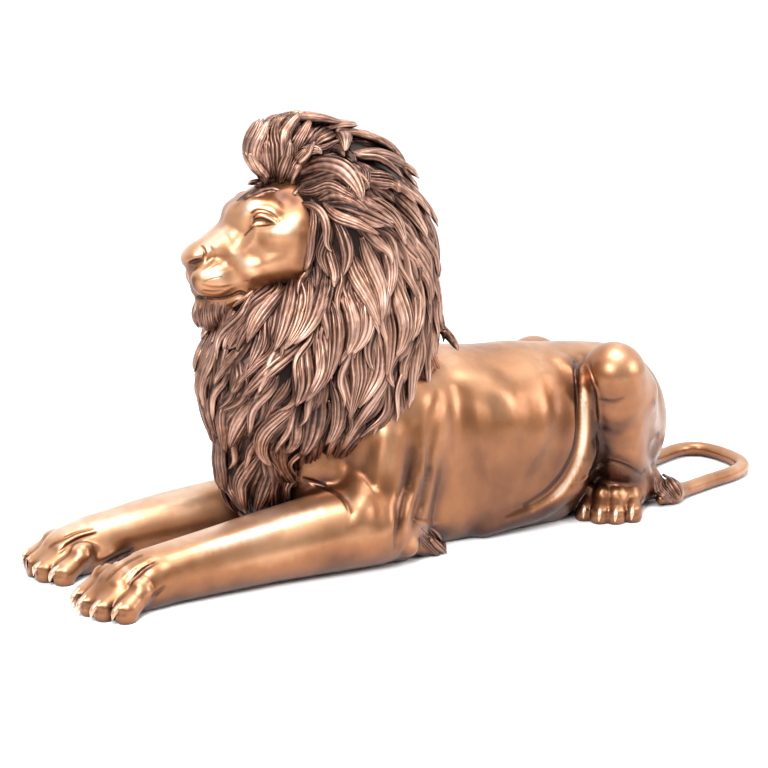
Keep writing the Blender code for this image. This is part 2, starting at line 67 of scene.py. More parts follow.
# %% Camera
PICTURE = 768
FOCAL = 1640
AZIMUTH, ELEVATION, DISTANCE = math.radians(-28), math.radians(15), 4.5
TARGET = Vector((-0.185, -0.03, 0.45))
toward_camera = Vector((
    math.sin(AZIMUTH) * math.cos(ELEVATION),
    -math.cos(AZIMUTH) * math.cos(ELEVATION),
    math.sin(ELEVATION)))
lens = bpy.data.cameras.new("camera")
lens.sensor_width = 36
lens.lens = FOCAL / PICTURE * 36
camera = bpy.data.objects.new("camera", lens)
bpy.context.scene.collection.objects.link(camera)
camera.location = TARGET + toward_camera * DISTANCE
camera.rotation_euler = toward_camera.to_track_quat("Z", "Y").to_euler()
bpy.context.scene.camera = camera
bpy.context.view_layer.update()
print("camera at", [round(value, 3) for value in camera.location])


def sight_lines(strokes):
    """The ways that points of the picture look from the camera, each one metre deep."""
    turn = np.array(camera.matrix_world.to_3x3())
    flat = np.stack((
        (strokes[..., 0] - PICTURE / 2) / FOCAL,
        (PICTURE / 2 - strokes[..., 1]) / FOCAL,
        -np.ones(strokes.shape[:-1])), -1)
    return flat @ turn.T


# %% [markdown]
# ## Clay
# A sculptor builds a lion from lumps and rolls of clay, presses each into the last and cuts
# some away. The same works here. Each lump is an ellipsoid and each roll a chain of round
# cones, and a smooth blend joins them. Metaballs do this too, but they can't be cut away from
# or measured, and the distance to this clay is needed again for combing the hair and for
# finding the recesses, so the clay is a list of plain values.

# %% Lumps, rolls and their distance
def ball(centre, radii, turn=(0, 0, 0), blend=0.05, carve=False):
    """An ellipsoid of clay, turned by yaw, pitch and roll in degrees."""
    return {"ends": [(centre, 0)], "radii": radii, "turn": turn, "blend": blend, "carve": carve}


def limb(*ends, blend=0.03, carve=False):
    """A roll of clay through the given (point, radius) ends."""
    return {"ends": ends, "radii": None, "turn": None, "blend": blend, "carve": carve}


def unit(vectors):
    """The vectors, each brought to length one."""
    return vectors / np.maximum(np.linalg.norm(vectors, axis=-1), 1e-9)[..., None]


def rolled(clay, shift=(0, 0, 0), yaw=0.0):
    """The clay with its centres, axes and reach worked out, set down at a place."""
    place = np.array(Matrix.Rotation(math.radians(yaw), 3, "Z"))
    ready = []
    for piece in clay:
        points = np.array([end[0] for end in piece["ends"]], float) @ place.T + shift
        radii = np.array([end[1] for end in piece["ends"]], float)
        made = dict(piece, points=points, middle=(points.max(0) + points.min(0)) / 2)
        if piece["radii"]:
            turn = [math.radians(angle) for angle in piece["turn"]]
            axes = Matrix.Rotation(turn[0], 3, "Z") @ Matrix.Rotation(turn[1], 3, "Y")
            axes = axes @ Matrix.Rotation(turn[2], 3, "X")
            made.update(axes=place @ np.array(axes), size=np.array(piece["radii"], float))
            made["reach"] = made["size"].max()
        else:
            made.update(size=radii)
            made["reach"] = (np.linalg.norm(points - made["middle"], axis=1) + radii).max()
        ready.append(made)
    return ready


def cones(piece):
    """The cones of a roll, each by its two ends and their radii."""
    points, radii = piece["points"], piece["size"]
    return zip(points, points[1:], radii, radii[1:])


def depth_in(piece, points):
    """Signed distance of the points from one piece of clay, negative inside."""
    if piece["radii"]:
        local = (points - piece["points"][0]) @ piece["axes"]
        near = np.linalg.norm(local / piece["size"], axis=1)
        far = np.linalg.norm(local / piece["size"] ** 2, axis=1)
        return near * (near - 1) / np.maximum(far, 1e-9)
    best = np.full(len(points), 9.0)
    for a, b, start, end in cones(piece):
        along = b - a
        share = np.clip((points - a) @ along / (along @ along), 0, 1)
        gap = np.linalg.norm(points - a - share[:, None] * along, axis=1)
        best = np.minimum(best, gap - (start + (end - start) * share))
    return best


def depth(clay, points):
    """Signed distance of the points from all the clay, each piece blended into the last."""
    total = np.full(len(points), 9.0)
    for piece in clay:
        blend = piece["blend"]
        gap = np.linalg.norm(points - piece["middle"], axis=1) - piece["reach"]
        near = gap < (blend - total if piece["carve"] else total + blend)
        if not near.any():
            continue
        other = depth_in(piece, points[near])
        mine = total[near]
        if piece["carve"]:
            share = np.maximum(blend - np.abs(mine + other), 0) / blend
            total[near] = np.maximum(mine, -other) + share * share * blend / 4
        else:
            share = np.maximum(blend - np.abs(mine - other), 0) / blend
            total[near] = np.minimum(mine, other) - share * share * blend / 4
    return total


def slope(clay, points, step=0.001):
    """Depth at the points and the direction in which it grows."""
    here = depth(clay, points)
    rise = np.empty_like(points)
    for axis in range(3):
        moved = points.copy()
        moved[:, axis] += step
        rise[:, axis] = (depth(clay, moved) - here) / step
    return here, rise


# %% [markdown]
# ## From clay to a skin
# Rough balls and rolls are laid where the clay is, fused by one voxel remesh, and the skin
# is then drawn onto the blended clay with a little smoothing on the way. Sculpting by hand
# would give the same surface, but not one that another size or pose can be made from.

# %% Meshes and their corners
def corners(mesh):
    """Vertex places of a mesh as an array."""
    places = np.empty(len(mesh.vertices) * 3)
    mesh.vertices.foreach_get("co", places)
    return places.reshape(-1, 3)


def place_corners(mesh, places):
    """Put the vertices of a mesh where the array says."""
    mesh.vertices.foreach_set("co", np.asarray(places, np.float32).ravel())
    mesh.update()


def store(mesh, name, values):
    """Keep one number for every corner of a mesh."""
    kept = mesh.attributes.get(name) or mesh.attributes.new(name, "FLOAT", "POINT")
    kept.data.foreach_set("value", np.asarray(values, np.float32))


def as_mesh(name, made):
    """A mesh from a finished bmesh, which is then freed."""
    mesh = bpy.data.meshes.new(name)
    made.to_mesh(mesh)
    made.free()
    return mesh


def linked(name, mesh):
    """A new object for a mesh."""
    made = bpy.data.objects.new(name, mesh)
    bpy.context.scene.collection.objects.link(made)
    return made


def applied(piece):
    """Replace a piece's mesh by the result of its modifiers."""
    bpy.context.view_layer.update()
    result = piece.evaluated_get(bpy.context.evaluated_depsgraph_get())
    mesh = bpy.data.meshes.new_from_object(result)
    old = piece.data
    piece.modifiers.clear()
    piece.data = mesh
    bpy.data.meshes.remove(old)


# %% Blocking out and drawing down
def add_cone(block, *ends):
    """Add the hull of two balls, each given as a point and a radius, to the block."""
    roll = bmesh.new()
    for point, radius in ends:
        place = Matrix.Translation(point)
        bmesh.ops.create_icosphere(roll, subdivisions=3, radius=radius, matrix=place)
    hull = bmesh.ops.convex_hull(roll, input=roll.verts)
    inside = [item for item in hull["geom_interior"] if isinstance(item, bmesh.types.BMVert)]
    bmesh.ops.delete(roll, geom=inside, context="VERTS")
    skin = as_mesh("roll", roll)
    block.from_mesh(skin)
    bpy.data.meshes.remove(skin)


def blocked_out(name, clay, voxel):
    """Rough balls and rolls for the clay, fused into one skin."""
    block = bmesh.new()
    for piece in clay:
        if piece["carve"]:
            continue
        if piece["radii"]:
            place = Matrix(piece["axes"].tolist()).to_4x4() @ Matrix.Diagonal((*piece["size"], 1))
            place.translation = piece["points"][0]
            bmesh.ops.create_icosphere(block, subdivisions=3, radius=1, matrix=place)
            continue
        for a, b, start, end in cones(piece):
            add_cone(block, (a, start), (b, end))
    piece = linked(name, as_mesh(name, block))
    fuse = piece.modifiers.new("Fuse", "REMESH")
    fuse.mode = "VOXEL"
    fuse.voxel_size = voxel
    applied(piece)
    return piece


def neighbours(mesh):
    """The two ends of every edge, and how many edges meet at each vertex."""
    ends = np.empty(len(mesh.edges) * 2, np.int64)
    mesh.edges.foreach_get("vertices", ends)
    first, second = ends.reshape(-1, 2).T
    return first, second, np.bincount(ends, minlength=len(mesh.vertices))


def evened(values, first, second, count):
    """Each vertex's value averaged half with those of its neighbours."""
    mean = np.empty_like(values)
    for axis in range(values.shape[1]):
        mean[:, axis] = np.bincount(first, values[second, axis], len(values))
        mean[:, axis] += np.bincount(second, values[first, axis], len(values))
    return (values + mean / np.maximum(count, 1)[:, None]) / 2


STEP_LIMIT = 0.02


def smoothed(piece, clay, rounds):
    """Draw the skin onto the blended clay, evening it out on the way."""
    mesh = piece.data
    places = corners(mesh)
    first, second, count = neighbours(mesh)
    for turn in range(rounds + 2):
        if turn < rounds:
            places = evened(places, first, second, count)
        here, rise = slope(clay, places)
        size = np.sqrt(np.maximum((rise * rise).sum(1), 0.05))
        places = places - (np.clip(here / size, -STEP_LIMIT, STEP_LIMIT) / size)[:, None] * rise
    place_corners(mesh, places)


def refined(piece, wanted):
    """Cut the faces round the wanted places into four, for finer carving there."""
    made = bmesh.new()
    made.from_mesh(piece.data)
    middles = np.array([face.calc_center_median()[:] for face in made.faces])
    made.faces.ensure_lookup_table()
    chosen = [made.faces[number] for number in np.nonzero(wanted(middles))[0]]
    edges = list({edge for face in chosen for edge in face.edges})
    bmesh.ops.subdivide_edges(made, edges=edges, cuts=1, use_grid_fill=True)
    made.to_mesh(piece.data)
    made.free()


# %% [markdown]
# ## Strokes
# Fine forms are drawn, as with a brush in sculpt mode. A stroke is a few points in the
# picture, cast onto the clay along the camera's sight lines. A roll is then pressed in there
# or laid on, with its radius, its height over the skin (below it if negative) and its blend
# in millimetres, and its mirror image goes on the far side, which the picture doesn't show.

# %% Casting strokes onto clay
def smooth_stroke(points, rings):
    """A stroke's points drawn out into an even smooth curve."""
    points = np.array(points, float)
    ends = np.vstack((2 * points[0] - points[1], points, 2 * points[-1] - points[-2]))
    share = np.linspace(0, len(points) - 1 - 1e-9, rings)
    cell = share.astype(int)
    t = (share - cell)[:, None]
    a, b, c, d = (ends[cell + step] for step in range(4))
    return b + 0.5 * t * (c - a + t * (2 * a - 5 * b + 4 * c - d + t * (3 * (b - c) + d - a)))


def cast(curves, clay):
    """Where sight lines through the curves meet the clay, or pass nearest to it."""
    lines = sight_lines(curves).reshape(-1, 3)
    eye = np.array(camera.location)
    steps = np.arange(3.4, 5.2, 0.02)
    depths = np.stack([depth(clay, eye + lines * step) for step in steps])
    inside = depths < 0
    first = np.where(inside.any(0), inside.argmax(0), depths.argmin(0))
    reach = steps[first]
    struck = inside.any(0)
    for _ in range(6):
        reach = np.where(struck, reach + depth(clay, eye + lines * reach[:, None]) * 0.9, reach)
    return (eye + lines * reach[:, None]).reshape(curves.shape[:-1] + (3,))


def other_flank(places):
    """The places mirrored to the other side of the body."""
    return places * (1, -1, 1)


FINE_RADIUS = 0.009


def drawn_lines(strokes, clay, mirrored):
    """Rolls laid on or cut into the clay where the strokes fall, and on the mirrored places too."""
    lines = []
    for radius, height, blend, *points in strokes:
        radius, height, blend = radius / 1000, height / 1000, blend / 1000
        struck = cast(smooth_stroke(points, 3 * len(points)), clay)
        swell = np.sin(np.linspace(0.10, 0.90, len(struck)) * math.pi) ** 0.5
        ends = radius * (swell if radius < FINE_RADIUS else np.ones(len(struck)))
        # the blend itself raises the skin, so the roll lies lower by that, and its ends sink in
        over = (abs(height) - 0.2 * blend) * swell - 0.6 * blend * (1 - swell)
        for places in (struck, mirrored(struck)) if mirrored else (struck,):
            for _ in range(3):
                here, rise = slope(clay, places)
                places = places - here[:, None] * unit(rise)
            inward = (ends - over) * (1 if height < 0 else -1)
            middles = places + unit(rise) * inward[:, None]
            lines.append(limb(*zip(middles, ends), blend=blend, carve=height < 0))
    return rolled(lines)


def is_line(lump):
    """Whether a lump of clay is a fine line, too thin for the first rough skin."""
    return lump["size"].max() < FINE_RADIUS


def near_lines(places, lines, distance):
    """Whether places are close to one of the finer lines."""
    close = np.zeros(len(places), bool)
    for line in lines:
        if is_line(line):
            around = np.linalg.norm(places - line["middle"], axis=1) < line["reach"] + distance
            close[around] |= depth_in(line, places[around]) < distance
    return close


# %% [markdown]
# ## Body
# Trunk, legs and tail are smooth on the real casting, with a few crisp creases: behind the
# shoulder, round the elbow, and where a fold of skin runs down in front of the thigh. One
# sculpted mesh would need a steady hand for both sides. Here the big forms are lumps that a
# function sets down for either side, and only the far knee and foreleg differ a little.

# %% Trunk and shoulders
TRUNK_HALF_WIDTH = 0.212
FORELEG_RADIUS = 0.094
SHIN_RADIUS = 0.070
TOE_RADIUS = 0.026
TOE_SPACING = 1.64
TAIL_RADIUS = 0.023


def trunk():
    """Ribs, belly, loins and rump, with the belly spread where it meets the ground."""
    wide = TRUNK_HALF_WIDTH
    clay = [
        ball((-0.065, 0, 0.29), (0.30, wide * 0.97, 0.25), blend=0.08),
        ball((0.215, 0, 0.270), (0.34, wide * 1.015, 0.245), blend=0.08),
        ball((0.475, 0, 0.28), (0.22, wide * 0.83, 0.205), blend=0.08),
        ball((0.592, 0, 0.23), (0.180, wide * 0.80, 0.222), blend=0.06),
        ball((-0.30, 0, 0.23), (0.21, wide * 0.70, 0.24), blend=0.06)]
    for side in (-1, 1):
        clay.append(limb(
            ((-0.135, side * wide * 0.38, 0.085), 0.10),
            ((0.315, side * wide * 0.38, 0.085), 0.10),
            blend=0.10))
        fold = (
            (0.350, 0.42, 0.450), (0.382, 0.74, 0.41), (0.400, 0.92, 0.31), (0.392, 0.93, 0.21),
            (0.345, 0.88, 0.12), (0.235, 0.82, 0.06), (0.065, 0.76, 0.035))
        clay.append(limb(*[((x, side * wide * y, z), 0.026) for x, y, z in fold], blend=0.03))
    return clay


def shoulder(side):
    """Shoulder blade, the two columns of the upper arm, elbow and the tuft behind it."""
    return [
        ball((-0.195, side * 0.135, 0.33), (0.12, 0.080, 0.17), turn=(0, 14, 0), blend=0.07),
        limb(
            ((-0.160, side * 0.140, 0.40), 0.060),
            ((-0.175, side * 0.180, 0.24), 0.062),
            ((-0.190, side * 0.190, 0.09), 0.050),
            blend=0.035),
        limb(
            ((-0.265, side * 0.145, 0.34), 0.070),
            ((-0.270, side * 0.168, 0.22), 0.078),
            ((-0.250, side * 0.180, 0.12), 0.084),
            blend=0.035),
        limb(((-0.185, side * 0.196, 0.045), 0.036), ((-0.215, side * 0.19, 0.04), 0.045), blend=0.015),
        limb(((-0.155, side * 0.198, 0.028), 0.030), ((-0.090, side * 0.210, 0.012), 0.012), blend=0.010)]


# %% Legs, paws and tail
CLAWS = []


def paw(palm, heading, size, rise, plump=1.0):
    """Four toes fanned out from one palm, heading in degrees from -X toward -Y."""
    toe = TOE_RADIUS * size
    angle = math.radians(heading)
    ahead = np.array((-math.cos(angle), -math.sin(angle), 0))
    across = np.array((math.sin(angle), -math.cos(angle), 0))

    def at(forward, sideways, height):
        offset = ahead * forward + across * sideways + (0, 0, height * rise)
        return tuple(np.array(palm) + size * offset)

    heel = (0.105 * size, 0.080 * size, 0.046 * size * rise)
    sole = (0.086 * size, 0.070 * size, 0.044 * size * rise)
    clay = [
        ball(at(-0.015, 0, 0.045), heel, turn=(heading, 0, 0), blend=0.03),
        ball(at(0.026, 0, 0.034), sole, turn=(heading, 0, 0), blend=0.02)]
    reaches = (0.002, 0.018, 0.014, -0.010)
    spots = [place * TOE_RADIUS * TOE_SPACING for place in (-1.5, -0.5, 0.5, 1.5)]
    for side, reach in zip(spots, reaches):
        # the toe in two joints, each with its bulge, then its claw
        clay += [
            limb(
                (at(-0.035, side * 0.50, 0.060), toe * 0.80),
                (at(0.032 + reach, side * 0.98, 0.064), toe * 1.08 * plump),
                blend=0.008),
            limb(
                (at(0.046 + reach, side, 0.052), toe * 0.97 * plump),
                (at(0.076 + reach, side * 1.05, 0.032), toe * 1.08 * plump),
                (at(0.080 + reach, side * 1.06, 0.020), toe * 1.04 * plump),
                blend=0.008),
            ball(
                at(0.028 + reach, side * 0.97, 0.088), (toe * 0.92, toe * 0.60, toe * 0.50),
                turn=(heading, 0, 0), blend=0.012),
            ball(
                at(0.096 + reach, side * 1.06, 0.042), (toe * 0.56, toe * 0.46, toe * 0.42),
                turn=(heading, 0, 0), blend=0.008)]
        claw = (0.088, 0.052, 0.30), (0.103, 0.046, 0.30), (0.114, 0.034, 0.25), (0.119, 0.016, 0.05)
        CLAWS.append([
            (*at(forward + reach, side * 1.07, height), toe * girth) for forward, height, girth in claw])
    return clay


def foreleg(side, lead, heading, stout):
    """One foreleg laid along the ground, with its paw ahead; stout scales its girth."""
    thick = FORELEG_RADIUS * stout
    wrist = -0.925 - lead
    arm = limb(
        ((-0.300, side * 0.178, thick * 1.20), thick * 1.22),
        ((-0.420, side * 0.172, thick * 1.15), thick * 1.17),
        ((-0.600, side * 0.165, thick * 1.01), thick * 1.02),
        ((-0.785 - lead * 0.9, side * 0.168, thick * 0.86), thick * 0.89),
        ((wrist, side * 0.168, thick * 0.73), thick * 0.81),
        ((wrist - 0.07, side * 0.160, 0.054), 0.064),
        blend=0.04)
    knob = ball((-0.226, side * 0.246, 0.060), (0.029, 0.030, 0.033), blend=0.010)
    return [arm, knob] + paw((wrist - 0.045, side * 0.152, 0), heading, 1.12, 0.84)


def hind_leg(side, drop):
    """One folded hind leg: thigh, raised knee, shin, heel and foot."""
    thick = SHIN_RADIUS
    knee = (0.458, side * 0.205, 0.440 - drop)
    groove = limb(
        ((0.412, side * 0.200, 0.49), 0.010),
        ((0.432, side * 0.225, 0.36), 0.016),
        ((0.430, side * 0.225, 0.22), 0.018),
        ((0.400, side * 0.220, 0.13), 0.014),
        blend=0.03, carve=True)
    thigh = limb(
        ((0.550, side * 0.10, 0.265), 0.122),
        ((0.525, side * 0.16, 0.36 - drop), 0.102),
        (knee, 0.088),
        blend=0.03)
    shin = limb(
        (knee, 0.086),
        ((0.492, side * 0.188, 0.29), thick * 1.14),
        ((0.534, side * 0.158, 0.17), thick * 1.10),
        ((0.580, side * 0.125, 0.095), thick * 1.05),
        blend=0.02)
    heel = limb(((0.650, side * 0.100, 0.060), 0.062), ((0.570, side * 0.120, 0.060), 0.068), blend=0.02)
    heading = -side * 51.5
    foot = ball((0.540, side * 0.130, 0.062), (0.085, 0.090, 0.066), turn=(heading, 0, 0), blend=0.02)
    return [groove, thigh, shin, heel, foot] + paw((0.510, side * 0.138, 0), heading, 1.0, 0.90, 1.12)


def tail():
    """The tail, bent back on itself over the ground, and its tuft."""
    lying = TAIL_RADIUS
    bends = (
        (0.745, 0.04, 0.14), (0.815, 0.09, 0.055), (0.885, 0.15, lying), (1.006, 0.191, lying),
        (1.065, 0.187, lying), (1.103, 0.155, lying), (1.121, 0.081, lying), (1.114, 0.0, lying),
        (1.080, -0.05, lying), (1.015, -0.083, lying), (0.909, -0.107, lying), (0.812, -0.132, lying),
        (0.743, -0.148, lying))
    tuft = limb(
        ((0.755, -0.145, 0.026), 0.022),
        ((0.720, -0.158, 0.032), 0.040),
        ((0.665, -0.178, 0.022), 0.014),
        blend=0.02)
    rope = [(tuple(place), TAIL_RADIUS) for place in smooth_stroke(bends, 34)]
    return [limb(*rope, blend=0.02), tuft]


def body():
    """All of the lion but its head and mane."""
    clay = trunk() + tail()
    clay += shoulder(-1) + hind_leg(-1, 0)
    clay += foreleg(-1, 0, 18.0, 1.0)
    clay += shoulder(1) + hind_leg(1, 0.068)
    clay += foreleg(1, 0.045, 9.0, 0.93)
    return rolled(clay)


# %% [markdown]
# ### Creases and folds of the body
# The creases behind the shoulder, the fold of skin in front of the thigh and the tendons of
# the paws are what makes the smooth body read as skin over muscle. They are drawn on the
# picture as strokes, so that they fall where the photograph has them. A displacement map would
# need an unwrapped mesh, and the export drops it.

# %% Strokes of the body
# radius, height and blend in millimetres, then the points in the picture
FOLD_STROKE = (
    17, 7, 6, (581, 358), (582, 378), (584, 400), (584, 424), (582, 446), (576, 464), (568, 480),
    (556, 495), (540, 506))
BODY_STROKES = (
    # behind the shoulder, and the valley between the two columns of the upper arm
    (20, -8, 18, (440, 396), (434, 418), (430, 440), (427, 460), (427, 480), (422, 500), (417, 514),
     (413, 526)),
    (5, -3.5, 6, (430, 446), (427, 462), (427, 480), (422, 500), (417, 514), (413, 526)),
    (14, -7, 16, (414, 426), (412, 450), (410, 472), (404, 488), (399, 508), (398, 528), (396, 552)),
    (16, 5.5, 14, (422, 436), (420, 468), (412, 496), (407, 518)),
    (34, 7, 30, (394, 424), (390, 452), (386, 478)),
    (20, -6, 24, (374, 436), (366, 462), (366, 488)),
    (18, 5, 18, (386, 506), (388, 526), (384, 544)),
    # forearm crease and the ridge beside it
    (6, -5, 6, (304, 479), (318, 484), (332, 491), (344, 500), (350, 512)),
    (14, 6, 12, (336, 480), (352, 490), (358, 506), (354, 526)),
    (30, 14, 18, (336, 470), (352, 480), (362, 498), (362, 520)),
    # the crease before the elbow and the fold over it
    (7, -6, 6, (403, 498), (400, 512), (397, 528), (395, 550)),
    (8, 4, 8, (416, 521), (426, 524), (437, 524)),
    # fold of skin before the thigh: its band, its crisp left edge and the valley behind it
    FOLD_STROKE, (14, 6, 8, (556, 495), (538, 507), (520, 515), (506, 521)),
    (4.5, -4, 5, (574, 362), (576, 384), (577, 406), (577, 428), (574, 448), (567, 464), (557, 479),
     (543, 493), (524, 505)),
    (9, -8, 8, (588, 362), (594, 388), (595, 416), (593, 442), (589, 462), (583, 480)),
    (5, 3.5, 5, (587, 366), (592, 380), (597, 392), (599, 406), (600, 422), (600, 438)),
    # knee, thigh and ankle
    (6, -2.4, 9, (601, 400), (608, 402), (615, 402), (622, 399)),
    (20, 7, 18, (604, 414), (618, 418), (634, 413)),
    (20, -9, 22, (602, 432), (616, 438), (634, 431)),
    (15, 6, 16, (616, 452), (632, 456), (644, 466)),
    (4.5, -3.5, 5, (598, 464), (608, 461), (618, 463), (628, 467), (641, 474)),
    (7, 4, 6, (582, 482), (591, 473), (602, 466)),
    # loin, ribs and belly
    (34, 9, 40, (470, 380), (492, 386), (506, 402), (512, 430)),
    (30, -9, 38, (552, 384), (560, 412), (556, 446), (540, 474)),
    (26, -9, 34, (458, 396), (464, 440), (476, 486)),
    # the ridge along the forearm to the wrist
    (24, 6, 26, (270, 530), (234, 540), (200, 551), (172, 563)))
PAW_STROKES = (
    # tendons running back from the toes, on each forepaw as it lies
    (5, -4, 4, (132, 549), (120, 554), (107, 561), (97, 570)),
    (5, -4, 4, (141, 556), (128, 562), (116, 570), (107, 580)),
    (6, -5, 4, (156, 563), (146, 568), (138, 575), (130, 584)),
    (6, 4, 5, (137, 552), (122, 559), (110, 568)),
    (6, 4, 5, (150, 559), (135, 567), (124, 577)),
    (5, -3, 5, (152, 597), (157, 593), (164, 587)),
    (5, -4, 4, (92, 529), (76, 533), (63, 539), (50, 547)),
    (5, -4, 4, (96, 534), (80, 538), (68, 545), (60, 552)),
    (6, 4, 5, (94, 531), (78, 536), (64, 543)))

BASE_CLAY = body()
BODY_LINES = drawn_lines(BODY_STROKES, BASE_CLAY, other_flank)
BODY_LINES += drawn_lines(PAW_STROKES, BASE_CLAY, None)
BODY_CLAY = BASE_CLAY + BODY_LINES
print("lines on the body", len(BODY_LINES))

# %% [markdown]
# ### The skin of the body
# The skin is first fused over the broad lumps alone, because a fine line is thinner than a
# face there and would tear it. Then only the faces at the paws and near the lines are cut
# smaller, twice, and drawn down onto the clay with the lines in it. Cutting every face would
# take the piece far over its share of triangles.

# %% Body skin
BODY_VOXEL = 0.013
WRIST_END = -0.885
FOOT_MIDDLE, FOOT_REACH, FOOT_TOP = 0.49, 0.125, 0.115
SOLE_TOP = 0.004
hide = blocked_out("body", BASE_CLAY, BODY_VOXEL)
smoothed(hide, BASE_CLAY, 4)


def about_paws(places):
    """Whether places lie at the forepaws or the hind feet."""
    fore = places[:, 0] < WRIST_END
    hind = (np.abs(places[:, 0] - FOOT_MIDDLE) < FOOT_REACH) & (np.abs(places[:, 1]) > 0.13)
    return fore | hind & (places[:, 2] < FOOT_TOP)


def about_toes(places):
    """Whether places lie at the paws and off the ground."""
    return about_paws(places) & (places[:, 2] > SOLE_TOP)


refined(hide, lambda places: about_paws(places) | near_lines(places, BODY_LINES, 0.014))
smoothed(hide, BODY_CLAY, 1)
refined(hide, lambda places: about_toes(places) | near_lines(places, BODY_LINES, 0.007))
smoothed(hide, BODY_CLAY, 1)
print("body", len(hide.data.vertices), "corners")

# %% [markdown]
# ## Head
# The face is smooth and bright, so it shows every fault. Lumps that blend give the soft
# changes between planes that cast bronze has, where a box-modelled face would show its edges.
# The broad lumps come first and are nearly the solid's own.

# %% Broad lumps of the head
HEAD_PLACE = (-0.734, 0.060, 0.848)
HEAD_TURN = 12.0


def face_side(side):
    """One half of the face: X back from the tip of the nose, Z up."""
    return [
        # bridge of the nose
        limb(
            ((0.20, side * 0.020, 0.058), 0.056),
            ((0.143, side * 0.020, 0.033), 0.050),
            ((0.066, side * 0.012, -0.008), 0.038),
            blend=0.02),
        # whisker pad and the lip behind it
        ball(
            (0.092, side * 0.036, -0.068), (0.072, 0.043, 0.054),
            turn=(-side * 10, 4, 0), blend=0.018),
        limb(
            ((0.215, side * 0.066, -0.020), 0.050),
            ((0.150, side * 0.050, -0.058), 0.041),
            ((0.105, side * 0.040, -0.062), 0.040),
            blend=0.03),
        # cheek bone and cheek
        limb(
            ((0.27, side * 0.080, 0.045), 0.042),
            ((0.205, side * 0.064, 0.020), 0.038),
            ((0.15, side * 0.046, -0.012), 0.038),
            blend=0.035),
        ball((0.275, side * 0.052, 0.010), (0.085, 0.066, 0.078), blend=0.05),
        # brow
        limb(
            ((0.150, side * 0.026, 0.096), 0.028),
            ((0.180, side * 0.056, 0.116), 0.022),
            ((0.235, side * 0.080, 0.110), 0.020),
            blend=0.03),
        # lower jaw, rising to the ear
        limb(
            ((0.235, side * 0.034, -0.018), 0.070),
            ((0.183, side * 0.032, -0.076), 0.054),
            ((0.130, side * 0.026, -0.112), 0.046),
            ((0.088, side * 0.014, -0.142), 0.040),
            blend=0.014)]


def in_head(places):
    """The places measured from the tip of the nose, straight back, across and up."""
    turn = np.array(Matrix.Rotation(math.radians(HEAD_TURN), 3, "Z"))
    return (places - HEAD_PLACE) @ turn.T


def broad_head():
    """The lumps of the whole head, in its own directions."""
    clay = [
        ball((0.278, 0, 0.036), (0.165, 0.112, 0.146), turn=(0, -6, 0), blend=0.04),
        ball((0.300, 0, 0.012), (0.12, 0.106, 0.112), blend=0.05)]
    clay += face_side(-1) + face_side(1)
    return clay + [
        limb(((0.036, 0, -0.030), 0.022), ((0.048, 0, -0.100), 0.022), blend=0.02),
        ball((0.036, 0, -0.010), (0.034, 0.042, 0.027), turn=(0, -28, 0), blend=0.014),
        ball((0.076, 0, -0.162), (0.047, 0.046, 0.049), blend=0.018)]


# %% [markdown]
# ### Lines drawn on the face
# The eye, nostril, mouth and folds are strokes again. Each is cast onto the broad lumps from
# the camera and then pressed into them or laid on them, with its own radius and depth in
# millimetres, and the other half of the face is its mirror image.

# %% Strokes of the face
FACE_STROKES = (
    # soft planes: hollow under the cheek bone, valleys behind the pad, cheek, brow
    (26, -4, 40, (260, 249), (270, 246), (280, 245)),
    (18, -3, 26, (238, 262), (235, 274), (238, 286)),
    (16, -2, 24, (264, 254), (254, 258), (245, 262)),
    (20, 2, 26, (246, 264), (252, 272)),
    (14, -3, 20, (247, 231), (242, 238), (236, 246)),
    (22, 2, 30, (272, 234), (286, 231), (296, 225)),
    (16, 3, 22, (253, 206), (247, 213), (243, 222)),
    (20, -2.5, 30, (282, 205), (292, 196)),
    (9, -1.2, 12, (238, 206), (246, 199), (254, 195)),
    # eye: hollow, then the ball, its lids and the fold over them
    (16, -9, 10, (257, 221), (269, 221)),
    (16, -2.5, 2, (261, 221), (266, 221.5)),
    (5.2, 2.6, 4, (251, 226), (252, 220), (256, 216.5), (262, 216), (269, 218.5), (275, 222.5), (278, 226)),
    (2.2, -0.7, 4, (252, 213), (257, 210.5), (264, 210.5), (272, 214), (279, 220.5)),
    (3.6, 0.2, 5, (251, 227), (257, 227.5), (264, 227.5), (271, 226.5), (277, 224)),
    (3.4, -2.2, 5, (251, 226), (248, 231), (244, 236)),
    # nostril, the line round its wing and the fold behind it
    (6.0, -5, 6, (190, 263.5), (195, 261.5), (201, 260)),
    (3.0, -1.8, 5, (202, 259.5), (205, 255), (204, 249.5), (201, 246)),
    (4.6, -1.3, 9, (210, 248), (212.5, 254), (209, 262), (203, 268)),
    (9, 1.6, 10, (192, 255), (199, 253)),
    # mouth, the small opening at its corner, and the folds over and behind it
    (3.4, -3.6, 4, (196, 298), (200, 297.5), (205, 297), (212, 298), (219, 298.5), (228, 297), (236, 294)),
    (4.6, -3.6, 4, (234, 295), (240, 292.5), (246, 294.5)),
    (4.0, 1.6, 5, (236, 299.5), (242, 298.5), (248, 298)),
    (3.6, -1.0, 7, (203, 285.5), (212, 288), (223, 288), (234, 285.5), (246, 282)),
    (3.0, -0.7, 6, (204, 291), (212, 292), (222, 291)),
    (7, 2.0, 9, (206, 302), (216, 303.5), (226, 303), (234, 301)),
    (6, -1.5, 9, (251, 290), (253, 296), (250, 303)),
    # whisker lines
    (1.2, -0.8, 1.5, (203, 273), (211, 267.5), (221, 262)),
    (1.2, -0.8, 1.5, (205, 277.5), (214, 273), (225, 269.5)),
    (1.1, -0.6, 1.5, (204, 281.5), (212, 279), (222, 276.5)))


